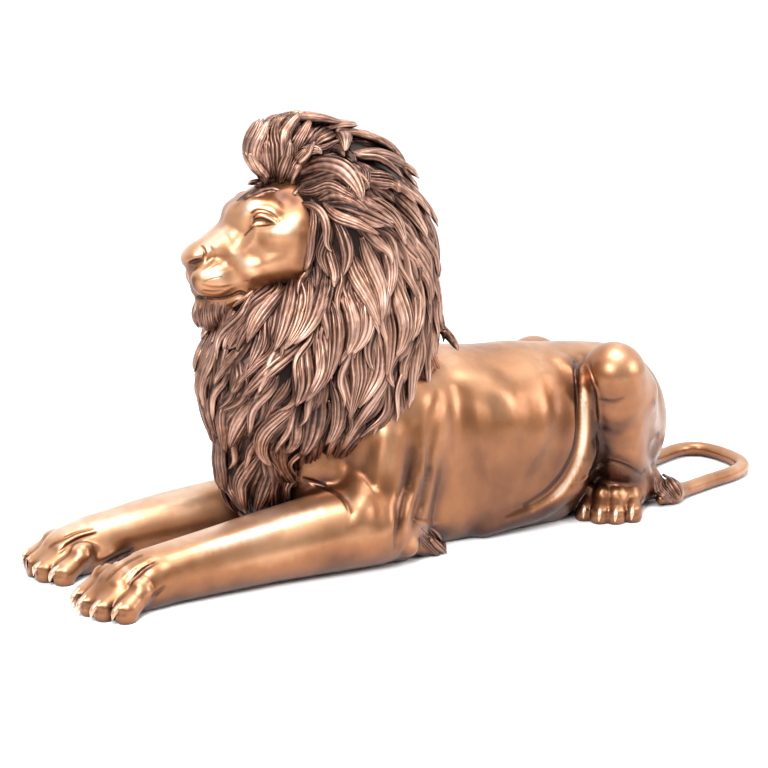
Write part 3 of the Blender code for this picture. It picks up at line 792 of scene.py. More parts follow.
def other_half(places):
    """The places mirrored to the other half of the face."""
    turn = np.array(Matrix.Rotation(math.radians(HEAD_TURN), 3, "Z"))
    return (in_head(places) * (1, -1, 1)) @ turn + HEAD_PLACE


CLEFT = limb(
    ((0.008, 0, -0.040), 0.002), ((0.016, 0, -0.072), 0.0035), ((0.030, 0, -0.112), 0.004),
    blend=0.008, carve=True)
BROAD_CLAY = rolled(broad_head() + [CLEFT], shift=HEAD_PLACE, yaw=-HEAD_TURN)
FACE_LINES = drawn_lines(FACE_STROKES, BROAD_CLAY, other_half)
HEAD_CLAY = BROAD_CLAY + FACE_LINES
print("lines on the face", len(FACE_LINES))

# %% [markdown]
# ### The skin of the face
# The face gets the same two rounds as the body, with smaller faces to begin with: the eyelids
# are only a few millimetres thick, and the light on a polished cheek shows every facet.

# %% Face skin
FACE_VOXEL = 0.0055
FACE_END = 0.25
face = blocked_out("head", BROAD_CLAY, FACE_VOXEL)
smoothed(face, BROAD_CLAY, 2)


def about_face(places):
    """Whether places are on the front of the face."""
    return in_head(places)[:, 0] < FACE_END


refined(face, about_face)
smoothed(face, HEAD_CLAY, 1)
refined(face, lambda places: near_lines(places, FACE_LINES, 0.005))
smoothed(face, HEAD_CLAY, 1)
print("head", len(face.data.vertices), "corners")

# %% [markdown]
# ## Mane
# The mane is a mass with deep, striated locks laid over it in rows, roots hidden and tips
# free. Hair particles would not cast, and don't export. Here each lock is a flattened tube
# with grooves along its top, so that it stays solid metal from every side. The mass beneath
# comes first, because the locks lie on it and it shows between them.

# %% The mass under the locks
MANE_CLAY = rolled([
    ball((-0.300, 0, 0.945), (0.172, 0.180, 0.183)),
    limb(
        ((-0.468, 0, 1.060), 0.045), ((-0.492, 0, 1.102), 0.044),
        ((-0.448, 0, 1.132), 0.050), ((-0.390, 0, 1.106), 0.058)),
    ball((-0.265, 0, 0.860), (0.200, 0.205, 0.180)),
    ball((-0.223, 0, 0.780), (0.163, 0.185, 0.200)),
    ball((-0.292, 0, 0.66), (0.208, 0.232, 0.25)),
    ball((-0.475, 0, 0.67), (0.155, 0.165, 0.12)),
    ball((-0.462, 0, 0.510), (0.228, 0.195, 0.240)),
    ball((-0.195, 0, 0.60), (0.155, 0.175, 0.22)),
    ball((-0.285, 0, 0.45), (0.17, 0.205, 0.20)),
    limb(((-0.530, 0, 0.40), 0.115), ((-0.548, 0, 0.22), 0.080))])
BED_VOXEL = 0.011
ruff = blocked_out("mane_bed", MANE_CLAY, BED_VOXEL)
smoothed(ruff, MANE_CLAY, 4)
print("mane bed", len(ruff.data.vertices), "corners")

# %% [markdown]
# ### Strokes
# The large locks are what makes this mane this lion's, so they are drawn: each is a stroke of
# a few points in the picture, with half its width in picture points. A stroke is cast along
# the camera's sight lines onto the mass, as a brush in sculpt mode is, and the same lock is
# laid on the far side, which the picture doesn't show.

# %% Strokes of the large locks
# half the width in picture points, then the points in the picture, from root to tip
STROKES = (
    # forelock
    (6, (260, 182), (257, 170), (253, 158), (251, 148)), (6, (266, 181), (261, 166), (258, 152), (263, 138)),
    (6, (272, 180), (268, 162), (267, 144), (275, 127)), (7, (278, 179), (275, 158), (275, 137), (286, 118)),
    (7, (285, 177), (282, 154), (286, 132), (302, 113)), (6, (292, 172), (293, 150), (300, 134), (309, 121)),
    (2, (266, 179), (258, 181), (252, 184), (246, 189)),
    (4, (263, 160), (257, 152), (252, 148), (248, 149)), (4, (270, 146), (264, 138), (264, 130), (269, 125)),
    (4, (280, 142), (276, 132), (275, 124), (279, 118)), (4, (292, 136), (293, 126), (298, 118), (305, 112)),
    (4, (304, 136), (309, 126), (316, 120), (324, 120)),
    # crown
    (8, (304, 140), (318, 130), (335, 126), (350, 131)), (9, (312, 146), (328, 137), (343, 141), (345, 159)),
    (8, (343, 138), (362, 141), (383, 150), (394, 165)), (7, (350, 157), (375, 155), (396, 167), (413, 184)),
    (9, (358, 176), (372, 180), (386, 185), (392, 196)), (5, (356, 162), (364, 172), (364, 184), (360, 194)),
    (5, (291, 160), (300, 150), (314, 150), (323, 158)), (5, (318, 154), (328, 149), (339, 153), (344, 162)),
    # swirls over the temple
    (10, (296, 172), (318, 165), (340, 170), (354, 186), (360, 204)),
    (7, (299, 183), (318, 179), (338, 175), (350, 184), (346, 197)),
    (6, (298, 191), (314, 191), (330, 186), (346, 195), (362, 204)),
    (6, (318, 200), (334, 193), (350, 199), (366, 212)), (7, (326, 204), (345, 206), (368, 216), (389, 228)),
    (6, (322, 202), (335, 215), (355, 223), (376, 234)), (6, (356, 190), (368, 205), (380, 217), (390, 224)),
    (7, (385, 185), (398, 200), (410, 218), (420, 240)), (7, (362, 196), (378, 205), (392, 220), (400, 244)),
    # along the cheek
    (6, (311, 198), (317, 222), (312, 246), (304, 268)), (6, (320, 206), (329, 230), (323, 252), (331, 276)),
    (6, (323, 232), (330, 252), (336, 272), (336, 288)), (6, (332, 214), (343, 234), (348, 254), (344, 276)),
    # roots of the forelock, and under the jaw
    (6, (280, 183), (283, 168), (285, 152), (289, 139)), (5, (288, 179), (292, 166), (298, 154), (305, 146)),
    (5, (273, 182), (270, 168), (268, 154), (269, 144)),
    (7, (285, 286), (271, 303), (259, 322), (251, 343)), (6, (273, 298), (259, 314), (248, 332), (241, 352)),
    (6, (262, 307), (249, 321), (239, 336), (234, 350)), (5, (249, 315), (239, 327), (232, 340), (229, 353)),
    # neck
    (8, (297, 268), (292, 295), (285, 325), (275, 350)), (9, (311, 266), (307, 295), (299, 322), (284, 348)),
    (9, (325, 272), (322, 298), (311, 320), (292, 343)), (8, (347, 243), (354, 270), (367, 298), (376, 324)),
    (8, (362, 236), (370, 260), (379, 290), (378, 320)), (7, (378, 230), (387, 250), (389, 275), (382, 302)),
    (8, (342, 284), (352, 308), (355, 332), (346, 352)), (8, (357, 284), (366, 305), (365, 330), (352, 350)),
    (9, (330, 298), (337, 320), (335, 346), (318, 386)), (9, (318, 322), (323, 346), (320, 372), (303, 398)),
    (9, (305, 334), (303, 360), (303, 384), (294, 402)), (10, (392, 268), (399, 298), (401, 326), (390, 352)),
    (9, (405, 258), (414, 284), (413, 312), (404, 338)), (8, (402, 232), (414, 254), (422, 278), (421, 304)),
    (6, (420, 232), (429, 260), (431, 290), (432, 322)), (7, (385, 298), (389, 324), (387, 346), (382, 372)),
    (6, (425, 298), (430, 326), (426, 350), (431, 368), (425, 391)),
    (7, (418, 318), (416, 344), (409, 370), (401, 407)), (6, (434, 316), (444, 330), (452, 342), (457, 354)),
    # shoulder and breast
    (9, (362, 332), (358, 356), (357, 378), (346, 416)), (9, (378, 332), (378, 358), (371, 380), (356, 404)),
    (7, (345, 352), (341, 374), (345, 394), (350, 414)), (8, (331, 376), (338, 398), (335, 420), (321, 438)),
    (10, (318, 388), (316, 408), (310, 430), (298, 448)), (7, (303, 404), (298, 420), (295, 436), (284, 446)),
    (6, (392, 350), (386, 376), (370, 402), (352, 426), (338, 446)),
    (7, (353, 412), (346, 430), (338, 450), (320, 468)), (7, (312, 332), (290, 352), (265, 374), (246, 394)),
    (8, (300, 404), (284, 414), (266, 428), (262, 444), (270, 461)),
    (6, (286, 426), (282, 448), (282, 470), (291, 489)), (8, (322, 432), (314, 450), (300, 466), (288, 478)),
    # bib
    (7, (262, 318), (263, 336), (259, 352), (252, 368)), (6, (246, 332), (240, 350), (229, 366), (221, 383)),
    (6, (276, 336), (270, 352), (256, 366), (240, 384)), (6, (232, 350), (240, 366), (242, 380), (236, 392)),
    (6, (206, 338), (197, 358), (196, 382), (206, 402)), (6, (216, 362), (208, 384), (212, 406), (222, 432)),
    (8, (238, 388), (224, 406), (228, 428), (234, 448)), (8, (262, 392), (248, 408), (240, 424), (236, 442)),
    (7, (210, 430), (210, 452), (218, 472), (230, 484)), (8, (244, 432), (236, 456), (233, 480), (246, 500)),
    (9, (262, 448), (249, 464), (243, 482), (250, 505)), (7, (272, 462), (266, 480), (261, 494), (256, 506)))


# %% [markdown]
# ### Laying the large locks
# A cast stroke can lie deep in the mass or float over it, where it passes the edge of what the
# camera sees. So each path is drawn out to just over the mass and evened out. The middle of the
# mane faces away from the camera, and its locks are set down there as given lines in the
# middle plane: up the forelock, over the crown and down the neck.

# %% Paths of the large locks
LOCK_RINGS = 24
CREST_LINES = (
    ((-0.500, 1.040), (-0.545, 1.085), (-0.540, 1.140), (-0.500, 1.180)),
    ((-0.500, 1.150), (-0.440, 1.190), (-0.370, 1.185), (-0.300, 1.150)),
    ((-0.325, 1.170), (-0.260, 1.140), (-0.190, 1.095), (-0.135, 1.020)))
CREST_PLACES = ((-0.026, 0.0, 0.026), (-0.026, 0.0, 0.026), (-0.045, -0.014, 0.014, 0.045))
CREST_WIDTH = 0.018
CREST_SWAY = (0, 0.012, -0.0072, 0.0096)
MIDDLE_GAP = 0.014
LYING = 0.004


def settled(paths, clay):
    """Paths drawn out of the clay, or a little nearer to it, and evened out along their length."""
    for _ in range(3):
        flat = paths.reshape(-1, 3)
        here, rise = slope(clay, flat)
        here = np.where(here < LYING, here, (here - LYING) * 0.12)
        flat = flat - np.clip(here, -0.03, 0.03)[:, None] * unit(rise)
        paths = flat.reshape(paths.shape)
        paths[:, 1:-1] = (paths[:, :-2] + 2 * paths[:, 1:-1] + paths[:, 2:]) / 4
    rise = slope(clay, paths.reshape(-1, 3))[1]
    return paths, unit(rise).reshape(paths.shape)


BED_CLAY = MANE_CLAY + [dict(piece, blend=0.02) for piece in BROAD_CLAY[:2]]
drawn = cast(np.array([smooth_stroke(stroke[1:], LOCK_RINGS) for stroke in STROKES]), BED_CLAY)
# no near lock reaches over the middle, where it would cross its own mirror image
drawn[:, :, 1] = np.minimum(drawn[:, :, 1], -MIDDLE_GAP)
crest = np.array([
    smooth_stroke([(x, y + sway, z) for (x, z), sway in zip(line, CREST_SWAY)], LOCK_RINGS)
    for line, row in zip(CREST_LINES, CREST_PLACES) for y in row])
drawn = np.concatenate((drawn, other_flank(drawn), crest))
drawn, drawn_outward = settled(drawn, BED_CLAY)
print("strokes", len(STROKES), "large locks", len(drawn))

# %% [markdown]
# ### Combing the smaller locks
# The smaller locks between the large ones follow them. A list of places says how the hair runs
# there, read from the photograph, and the large locks add their own way. Between the places
# the way is a mean, weighted to the nearest. A root starts a lock, which is then led over the
# mass step by step, swaying as it goes. A groom with guide hairs works alike, but its result
# isn't a mesh.

# %% The way the hair runs
# A place on the mane and the way the hair runs there; those off the middle hold for both sides.
HAIR_RUN = (
    ((-0.520, 0.0, 1.04), (0.05, 0, 1.0)), ((-0.525, -0.06, 1.05), (0.1, -0.15, 1.0)),
    ((-0.515, 0.0, 1.12), (0.6, 0, 1.0)), ((-0.445, 0.0, 1.19), (1, 0, 0.25)),
    ((-0.485, -0.09, 1.10), (0.7, -0.25, 0.7)), ((-0.335, 0.0, 1.19), (1, 0, -0.1)),
    ((-0.235, 0.0, 1.15), (1, 0, -0.45)), ((-0.155, 0.0, 1.05), (0.55, 0, -1)),
    ((-0.095, 0.0, 0.92), (0.35, 0, -1)), ((-0.065, 0.0, 0.78), (0.2, 0, -1)),
    ((-0.015, 0.0, 0.62), (0.35, 0, -1)), ((0.015, 0.0, 0.50), (0.8, 0, -1)),
    ((-0.425, -0.12, 1.06), (1.0, -0.25, 0.15)), ((-0.325, -0.15, 1.08), (1, -0.1, -0.25)),
    ((-0.235, -0.14, 1.05), (0.8, 0, -0.7)), ((-0.425, -0.16, 0.98), (1.0, -0.3, -0.35)),
    ((-0.305, -0.18, 0.96), (0.9, -0.05, -0.75)), ((-0.185, -0.16, 0.92), (0.5, 0.05, -1)),
    ((-0.425, -0.18, 0.88), (0.55, -0.3, -1)), ((-0.305, -0.20, 0.84), (0.35, -0.1, -1)),
    ((-0.165, -0.17, 0.78), (0.2, 0, -1)), ((-0.455, -0.19, 0.78), (0.10, -0.2, -1)),
    ((-0.325, -0.22, 0.70), (-0.10, -0.05, -1)), ((-0.145, -0.19, 0.64), (0.05, -0.05, -1)),
    ((-0.515, -0.17, 0.68), (0, -0.05, -1)), ((-0.615, -0.05, 0.66), (-0.1, 0, -1)),
    ((-0.585, -0.12, 0.62), (0, -0.05, -1)), ((-0.465, -0.20, 0.58), (-0.25, 0, -1)),
    ((-0.305, -0.22, 0.55), (-0.35, 0, -1)), ((-0.135, -0.19, 0.50), (-0.15, 0, -1)),
    ((-0.665, -0.05, 0.52), (0, 0.02, -1)), ((-0.605, -0.13, 0.48), (-0.1, 0.05, -1)),
    ((-0.465, -0.20, 0.44), (-0.45, 0.1, -1)), ((-0.305, -0.20, 0.42), (-0.7, 0, -0.9)),
    ((-0.145, -0.20, 0.42), (-0.2, 0, -1)), ((-0.665, -0.04, 0.38), (0.15, 0, -1)),
    ((-0.605, -0.10, 0.34), (-0.1, 0.1, -1)), ((-0.485, -0.16, 0.32), (-0.6, 0.1, -1)),
    ((-0.635, -0.03, 0.26), (0.3, 0, -1)), ((-0.565, -0.08, 0.22), (0, 0.1, -1)))


RUN_RINGS = (4, 10, 16, 22)


def hair_run(points):
    """The way the hair runs at each point, from the places and strokes near it."""
    run = np.zeros_like(points)
    for place, way in HAIR_RUN:
        for side in ((1, -1) if place[1] else (1,)):
            flip = np.array((1, side, 1))
            apart = ((points - np.array(place) * flip) ** 2).sum(1)
            run += (1 / (apart + 0.0009) ** 2)[:, None] * unit(np.array(way, float)) * flip
    ways = unit(np.gradient(drawn, axis=1))
    for ring in RUN_RINGS:
        apart = ((points[:, None] - drawn[None, :, ring]) ** 2).sum(2)
        run += 0.6 * (1 / (apart + 0.0006) ** 2) @ ways[:, ring]
    return unit(run)


# %% Roots
FACE_DEPTH = -0.010
BODY_DEPTH = -0.035
MANE_EDGE = -0.385


def lock_roots(places, chance, spacing, stride):
    """Which places can be roots of locks, spaced out across the hair and further along it."""
    off_face = (depth(HEAD_CLAY, places) > FACE_DEPTH) | (places[:, 0] > MANE_EDGE)
    places = places[off_face & (depth(BODY_CLAY, places) > BODY_DEPTH)]
    places = places[chance.permutation(len(places))]
    runs = hair_run(places)
    chosen = [0]
    for number in range(1, len(places)):
        apart = places[chosen] - places[number]
        along = (apart * runs[number]).sum(1)
        across = (apart ** 2).sum(1) - along ** 2
        nearness = across / spacing ** 2 + along ** 2 / stride ** 2
        if nearness.min() > 1:
            chosen.append(number)
    return places[chosen]


# %% Combing
WAVE_LENGTH = 0.150
CURL_FROM = 0.7


def combed(roots, lengths, clay, rings, chance, sway):
    """Paths of locks over a mass, and the outward way at each ring."""
    path = np.empty((len(roots), rings, 3))
    outward = np.empty((len(roots), rings, 3))
    place = roots.copy()
    phase = 25 * roots[:, 2] + 14 * roots[:, 0] + chance.uniform(-0.8, 0.8, len(roots))
    curl = chance.uniform(-0.8, 0.8, len(roots))
    way = hair_run(place)
    for ring in range(rings):
        share = ring / (rings - 1)
        here, rise = slope(clay, place)
        rise = unit(rise)
        place = place - np.clip(here, -STEP_LIMIT, STEP_LIMIT)[:, None] * rise
        path[:, ring] = place
        outward[:, ring] = rise
        way = unit(way * 0.45 + hair_run(place) * 0.55)
        way = unit(way - (way * rise).sum(1)[:, None] * rise)
        turn = sway * np.cos(phase + share * lengths / WAVE_LENGTH * 2 * math.pi)
        turn += curl * max(0, share - CURL_FROM) * 3
        heading = unit(way + np.cross(rise, way) * turn[:, None])
        place = place + heading * (lengths / (rings - 1))[:, None]
    return path, outward


# %% [markdown]
# ### One lock
# The pattern for every lock is the same closed tube, drawn out ring by ring. Its corners
# are then moved: wide in the middle, pointed at the tip, nearly flat underneath and grooved
# on top, where most of its corners are. A groove is deepest where two strands meet.

# %% Pattern of a lock
def tube(around, rings):
    """A closed tube drawn out ring by ring, one unit apart, its corners in order round it."""
    made = bmesh.new()
    bmesh.ops.create_circle(made, cap_ends=False, segments=around, radius=1)
    edges = list(made.edges)
    for _ in range(rings - 1):
        pulled = bmesh.ops.extrude_edge_only(made, edges=edges)["geom"]
        verts = {item for item in pulled if isinstance(item, bmesh.types.BMVert)}
        edges = [item for item in pulled if isinstance(item, bmesh.types.BMEdge)]
        edges = [edge for edge in edges if verts.issuperset(edge.verts)]
        bmesh.ops.translate(made, verts=list(verts), vec=(0, 0, 1))
    bmesh.ops.holes_fill(made, edges=[edge for edge in made.edges if edge.is_boundary], sides=0)
    bmesh.ops.recalc_face_normals(made, faces=made.faces)
    return as_mesh("tube", made)


def copies(name, pattern, count):
    """One mesh that holds the pattern so many times over; the pattern itself goes."""
    made = bmesh.new()
    for _ in range(count):
        made.from_mesh(pattern)
    bpy.data.meshes.remove(pattern)
    return as_mesh(name, made)


def lock_shape(rings):
    """The share of its full width that a lock has at each ring."""
    share = np.linspace(0, 1, rings)
    swell = 0.45 + 0.55 * np.sin(np.minimum(share / 0.45, 1) * math.pi / 2)
    return swell * np.cos(np.maximum(share - 0.45, 0) / 0.55 * math.pi / 2 * 0.97) ** 0.75


# %% Grooves of a lock
STRAND = 4


def lock_section(step, ring, count, rings, strands, under, chance):
    """Angle and height of every corner round its lock, and how far it is from a groove."""
    over = strands * STRAND + 1
    # the first corners lie over the top from one edge to the other, the rest go back beneath
    on_top = step < over
    upper = step / (over - 1) * math.pi
    angle = np.where(on_top, upper, math.pi + (step - over + 1) / (under + 1) * math.pi)
    bend = np.sin(2 * angle) * chance.uniform(-0.22, 0.22, count)[:, None]
    bend += np.sin(4 * angle) * chance.uniform(-0.10, 0.10, count)[:, None]
    angle = angle + bend
    crown = np.abs(np.sin(step / STRAND * math.pi))
    cut = chance.uniform(0.35, 1.35, (count, strands + 1))
    cut = cut[:, np.minimum((step + STRAND // 2) // STRAND, strands)]
    share = np.linspace(0, 1, rings)
    groove = 0.30 * np.clip(share / 0.12, 0.2, 1) * np.clip((1 - share) / 0.15, 0.3, 1)
    sine = np.sin(angle)
    above = np.where(on_top, np.abs(sine) ** 0.8, sine * 0.45)
    depth_cut = cut * groove[ring] * (1 - crown) * np.sqrt(np.maximum(above, 0))
    above = np.where(on_top, above - depth_cut, above)
    inner = on_top & (step > 0) & (step < over - 1)
    return angle, above, np.where(inner, 1 - 0.8 * cut * (1 - crown), 0.1)


def grooved_locks(name, path, outward, half_width, thickness, chance, strands, under, lift):
    """Striated, tapering locks along the paths, each with strands of its own widths."""
    count, rings = path.shape[:2]
    around = strands * STRAND + 1 + under
    pattern = tube(around, rings)
    flat = corners(pattern)
    ring = np.rint(flat[:, 2]).astype(int)
    turned = np.arctan2(flat[:, 1], flat[:, 0]) / (2 * math.pi)
    step = np.mod(np.rint(turned * around).astype(int), around)
    angle, above, relief = lock_section(step, ring, count, rings, strands, under, chance)
    share = np.linspace(0, 1, rings)
    forward = unit(np.gradient(path, axis=1))
    sideways = unit(np.cross(outward, forward))
    upward = unit(np.cross(forward, sideways))
    swell = lock_shape(rings)
    width = half_width[:, None] * swell
    height = thickness[:, None] * (0.35 + 0.65 * swell)
    height = height * np.clip((1 - share) / 0.10, 0.25, 1)
    rise = thickness[:, None] * (lift[0] + (lift[1] - lift[0]) * share ** 1.3)
    places = path[:, ring] + sideways[:, ring] * (width[:, ring] * np.cos(angle))[:, :, None]
    places += upward[:, ring] * (height[:, ring] * above + rise[:, ring])[:, :, None]
    mesh = copies(name, pattern, count)
    place_corners(mesh, places.reshape(-1, 3))
    length = np.linalg.norm(np.diff(path, axis=1), axis=2).sum(1)
    number = np.arange(count)[:, None]
    store(mesh, "strand", relief.ravel())
    store(mesh, "shade", np.repeat(number * 0.618 % 1, len(flat)))
    store(mesh, "hair_across", (angle * half_width[:, None] * 60 + number * 7.31).ravel())
    store(mesh, "hair_along", (share[ring] * length[:, None] * 4 + number * 3.7).ravel())
    return linked(name, mesh)


# %% [markdown]
# ### Locks in four sizes
# The large drawn locks lie on top. Broad short-lifted locks fill in beneath them, fine strands
# run between, and a last set of short locks goes where the mass would still show. Locks of one
# size would look like scales.

# %% Large locks
def mane_piece(name, paths, outward, *sizes, **form):
    """Locks in two pieces, on the near and on the far side, so that neither gets too heavy."""
    near = paths[:, 0, 1] < 0
    made = []
    for side, one in (("near", near), ("far", ~near)):
        widths, depths = (size[one] for size in sizes)
        made.append(grooved_locks(
            name + "_" + side, paths[one], outward[one], widths, depths, chance, **form))
    faces = [sum(len(face.vertices) - 2 for face in piece.data.polygons) for piece in made]
    print(name, len(paths), "locks in pieces of", faces, "triangles")
    return made


PICTURE_POINT = DISTANCE / FOCAL
chance = np.random.default_rng(7)
stroke_width = np.tile([stroke[0] * PICTURE_POINT * 1.12 for stroke in STROKES], 2)
stroke_width = np.append(stroke_width, np.full(len(crest), CREST_WIDTH))
hair = mane_piece(
    "mane_locks", drawn, drawn_outward, stroke_width, stroke_width * 0.50 + 0.010,
    strands=6, under=4, lift=(-0.5, 1.2))

# %% Locks beneath them
CROWN = 0.98
CROWN_SHORTER = 0.75
UNDER_LENGTH, UNDER_WIDTH, UNDER_THICKNESS = 0.260, 0.030, 0.019
roots = lock_roots(corners(ruff.data), chance, spacing=0.046, stride=0.105)
lengths = UNDER_LENGTH * chance.uniform(0.85, 1.2, len(roots))
lengths[roots[:, 2] > CROWN] *= CROWN_SHORTER
path, outward = combed(roots, lengths, MANE_CLAY, 20, chance, sway=0.25)
half_width = UNDER_WIDTH * chance.uniform(0.8, 1.15, len(roots))
thickness = UNDER_THICKNESS * chance.uniform(0.85, 1.15, len(roots))
hair += mane_piece(
    "mane_underlocks", path, outward, half_width, thickness, strands=5, under=4, lift=(-0.8, 0.3))

# %% Finer strands between them
FINE_LENGTH, FINE_WIDTH, FINE_THICKNESS = 0.20, 0.012, 0.013
fine_roots = lock_roots(corners(ruff.data), chance, spacing=0.040, stride=0.095)
fine_lengths = FINE_LENGTH * chance.uniform(0.8, 1.25, len(fine_roots))
fine_lengths[fine_roots[:, 2] > CROWN] *= CROWN_SHORTER
fine_path, fine_outward = combed(fine_roots, fine_lengths, MANE_CLAY, 18, chance, sway=0.35)
fine_width = FINE_WIDTH * chance.uniform(0.7, 1.4, len(fine_roots))
fine_thickness = FINE_THICKNESS * chance.uniform(0.7, 1.2, len(fine_roots))
hair += mane_piece(
    "mane_strands", fine_path, fine_outward, fine_width, fine_thickness,
    strands=3, under=3, lift=(-0.2, 1.8))


# %% Short locks over what is still bare
def bare(places, paths, widths):
    """Which places no lock of these paths and half widths lies over; sunk rings don't count."""
    over = np.concatenate([one.reshape(-1, 3) for one in paths])
    reach = np.concatenate([np.repeat(width, one.shape[1]) for one, width in zip(paths, widths)])
    showing = depth(BED_CLAY, over) > -0.008
    over, reach = over[showing], reach[showing]
    apart = (places ** 2).sum(1)[:, None] + (over ** 2).sum(1) - 2 * places @ over.T
    return places[(apart > (0.70 * reach) ** 2).all(1)]


BARE_LENGTH, BARE_WIDTH = 0.140, 0.024
open_places = bare(
    corners(ruff.data)[::3], (drawn, path, fine_path), (stroke_width, half_width, fine_width))
bare_roots = lock_roots(open_places, chance, spacing=0.034, stride=0.065)
bare_roots = bare_roots - 0.40 * BARE_LENGTH * hair_run(bare_roots)
bare_lengths = BARE_LENGTH * chance.uniform(0.9, 1.2, len(bare_roots))
bare_path, bare_outward = combed(bare_roots, bare_lengths, BED_CLAY, 16, chance, sway=0.3)
bare_width = BARE_WIDTH * chance.uniform(0.85, 1.15, len(bare_roots))
hair += mane_piece(
    "mane_short_locks", bare_path, bare_outward, bare_width, bare_width * 0.6,
    strands=5, under=3, lift=(-0.8, 0.2))
print("bare places", len(open_places), "covered by", len(bare_roots), "short locks")

# %% [markdown]
# ## Claws and tufts
# Each toe ends in a short claw, and small tufts of hair hang at the elbows and at the end of
# the tail. All are too fine for the skin's mesh, so the claws are tapered tubes sunk in the
# toes, and the tufts are locks like those of the mane, drawn over the lumps of clay there.

# %% Claws
CLAW_RUBBED = 0.85


def claw_set(name, claws, around, rings):
    """Tapered tubes along the claws, each given as places with a radius."""
    pattern = tube(around, rings)
    flat = corners(pattern)
    ring = np.rint(flat[:, 2]).astype(int)
    places = []
    for claw in claws:
        curve = smooth_stroke(claw, rings)
        forward = unit(np.gradient(curve[:, :3], axis=0))
        sideways = unit(np.cross(forward, (0, 0, 1)))
        upward = np.cross(forward, sideways)
        round_it = sideways[ring] * flat[:, :1] + upward[ring] * flat[:, 1:2]
        places.append(curve[ring, :3] + curve[ring, 3:] * round_it)
    mesh = copies(name, pattern, len(claws))
    place_corners(mesh, np.concatenate(places))
    store(mesh, "patina_and_painted_shading", np.zeros(len(mesh.vertices)))
    store(mesh, "wear_and_painted_light", np.full(len(mesh.vertices), CLAW_RUBBED))
    return linked(name, mesh)


claws = claw_set("claws", CLAWS, 10, 9)
print("claws", len(CLAWS))

# %% Strokes of the tufts at the elbows, tail and chin
TUFT_STROKES = (
    (5, (421, 528), (428, 536), (436, 545), (446, 552)), (4, (419, 534), (425, 543), (432, 550), (439, 554)),
    (4, (426, 527), (434, 533), (440, 541), (445, 548)))
TAIL_TUFT_STROKES = (
    (6, (655, 473), (656, 484), (662, 494), (671, 501)), (5, (660, 472), (664, 483), (670, 493), (677, 499)),
    (5, (664, 473), (672, 480), (678, 488), (680, 497)), (4, (657, 478), (657, 488), (661, 495), (667, 500)))
CHIN_LEFT, CHIN_TOP, CHIN_LOW = 195, 304, 328
CHIN_LOCKS, CHIN_STEP, CHIN_LOCK_WIDTH = 15, 2.4, 2.6
CHIN_STROKES = []
for number in range(CHIN_LOCKS):
    # short locks side by side round the chin, each starting a little higher or lower
    left = CHIN_LEFT + number * CHIN_STEP
    top = CHIN_TOP + 4 * math.sin(number * 2.3)
    low = CHIN_LOW - 0.05 * (number - 6) ** 2 + 2 * math.sin(number * 1.7)
    CHIN_STROKES.append((
        CHIN_LOCK_WIDTH, (left, top), (left - 2, top + 8), (left - 1, low - 6), (left + 3, low)))
print("strokes at the chin", len(CHIN_STROKES))


# %% Tufts
TUFT_RECESS = 0.15
TUFT_RINGS = 16


def tuft(name, strokes, clay, mirrored, thick):
    """Locks drawn over the clay where the strokes fall."""
    paths = cast(np.array([smooth_stroke(stroke[1:], TUFT_RINGS) for stroke in strokes]), clay)
    widths = np.array([stroke[0] * PICTURE_POINT for stroke in strokes])
    if mirrored:
        other = np.array([mirrored(path) for path in paths])
        paths, widths = np.concatenate((paths, other)), np.tile(widths, 2)
    paths, outward = settled(paths, clay)
    made = grooved_locks(
        name, paths, outward, widths, widths * thick, chance, strands=4, under=4, lift=(-0.6, 0.8))
    store(made.data, "patina_and_painted_shading", np.full(len(made.data.vertices), TUFT_RECESS))
    return made


tufts = [
    tuft("elbow_tufts", TUFT_STROKES, BODY_CLAY, other_flank, 0.6),
    tuft("tail_tuft", TAIL_TUFT_STROKES, BODY_CLAY, None, 0.6),
    tuft("chin_tuft", CHIN_STROKES, HEAD_CLAY, other_half, 0.45)]
print("tufts", [len(piece.data.vertices) for piece in tufts])

# %% [markdown]
# ## Recesses
# A bronze is darkened all over with chemicals and then rubbed back, so every recess keeps a
# dark patina and every crest is bright. The darkness kept on each corner is that patina and
# painted shade together: how deep the corner lies is worked out here and stored on it, on the
# skins from the clay in front of it, on the mane from how far it lies below the tops of the
# locks around it. Baked or rendered occlusion would look alike, but wouldn't travel with the mesh.

# %% Recess on the skins
def hidden_by(clay, places, outward, reaches):
    """How much clay stands in front of each place, from 0 in the open to 1 in a deep crease."""
    hidden = np.zeros(len(places))
    for reach in reaches:
        open_space = depth(clay, places + outward * reach) / reach
        hidden += np.clip(1 - open_space, 0, 1.5)
    return hidden / len(reaches)


def facing(mesh):
    """The outward direction at every corner."""
    ways = np.empty(len(mesh.vertices) * 3, np.float32)
    mesh.vertex_normals.foreach_get("vector", ways)
    return ways.reshape(-1, 3).astype(float)


def in_grooves(places, lines, reach):
    """How close the places are to the carved lines, from 0 beyond their reach to 1 in them."""
    close = np.zeros(len(places))
    for line in lines:
        if line["carve"] and is_line(line):
            around = np.linalg.norm(places - line["middle"], axis=1) < line["reach"] + reach
            near = np.clip(1 - depth_in(line, places[around]) / reach, 0, 1)
            close[around] = np.maximum(close[around], near)
    return close
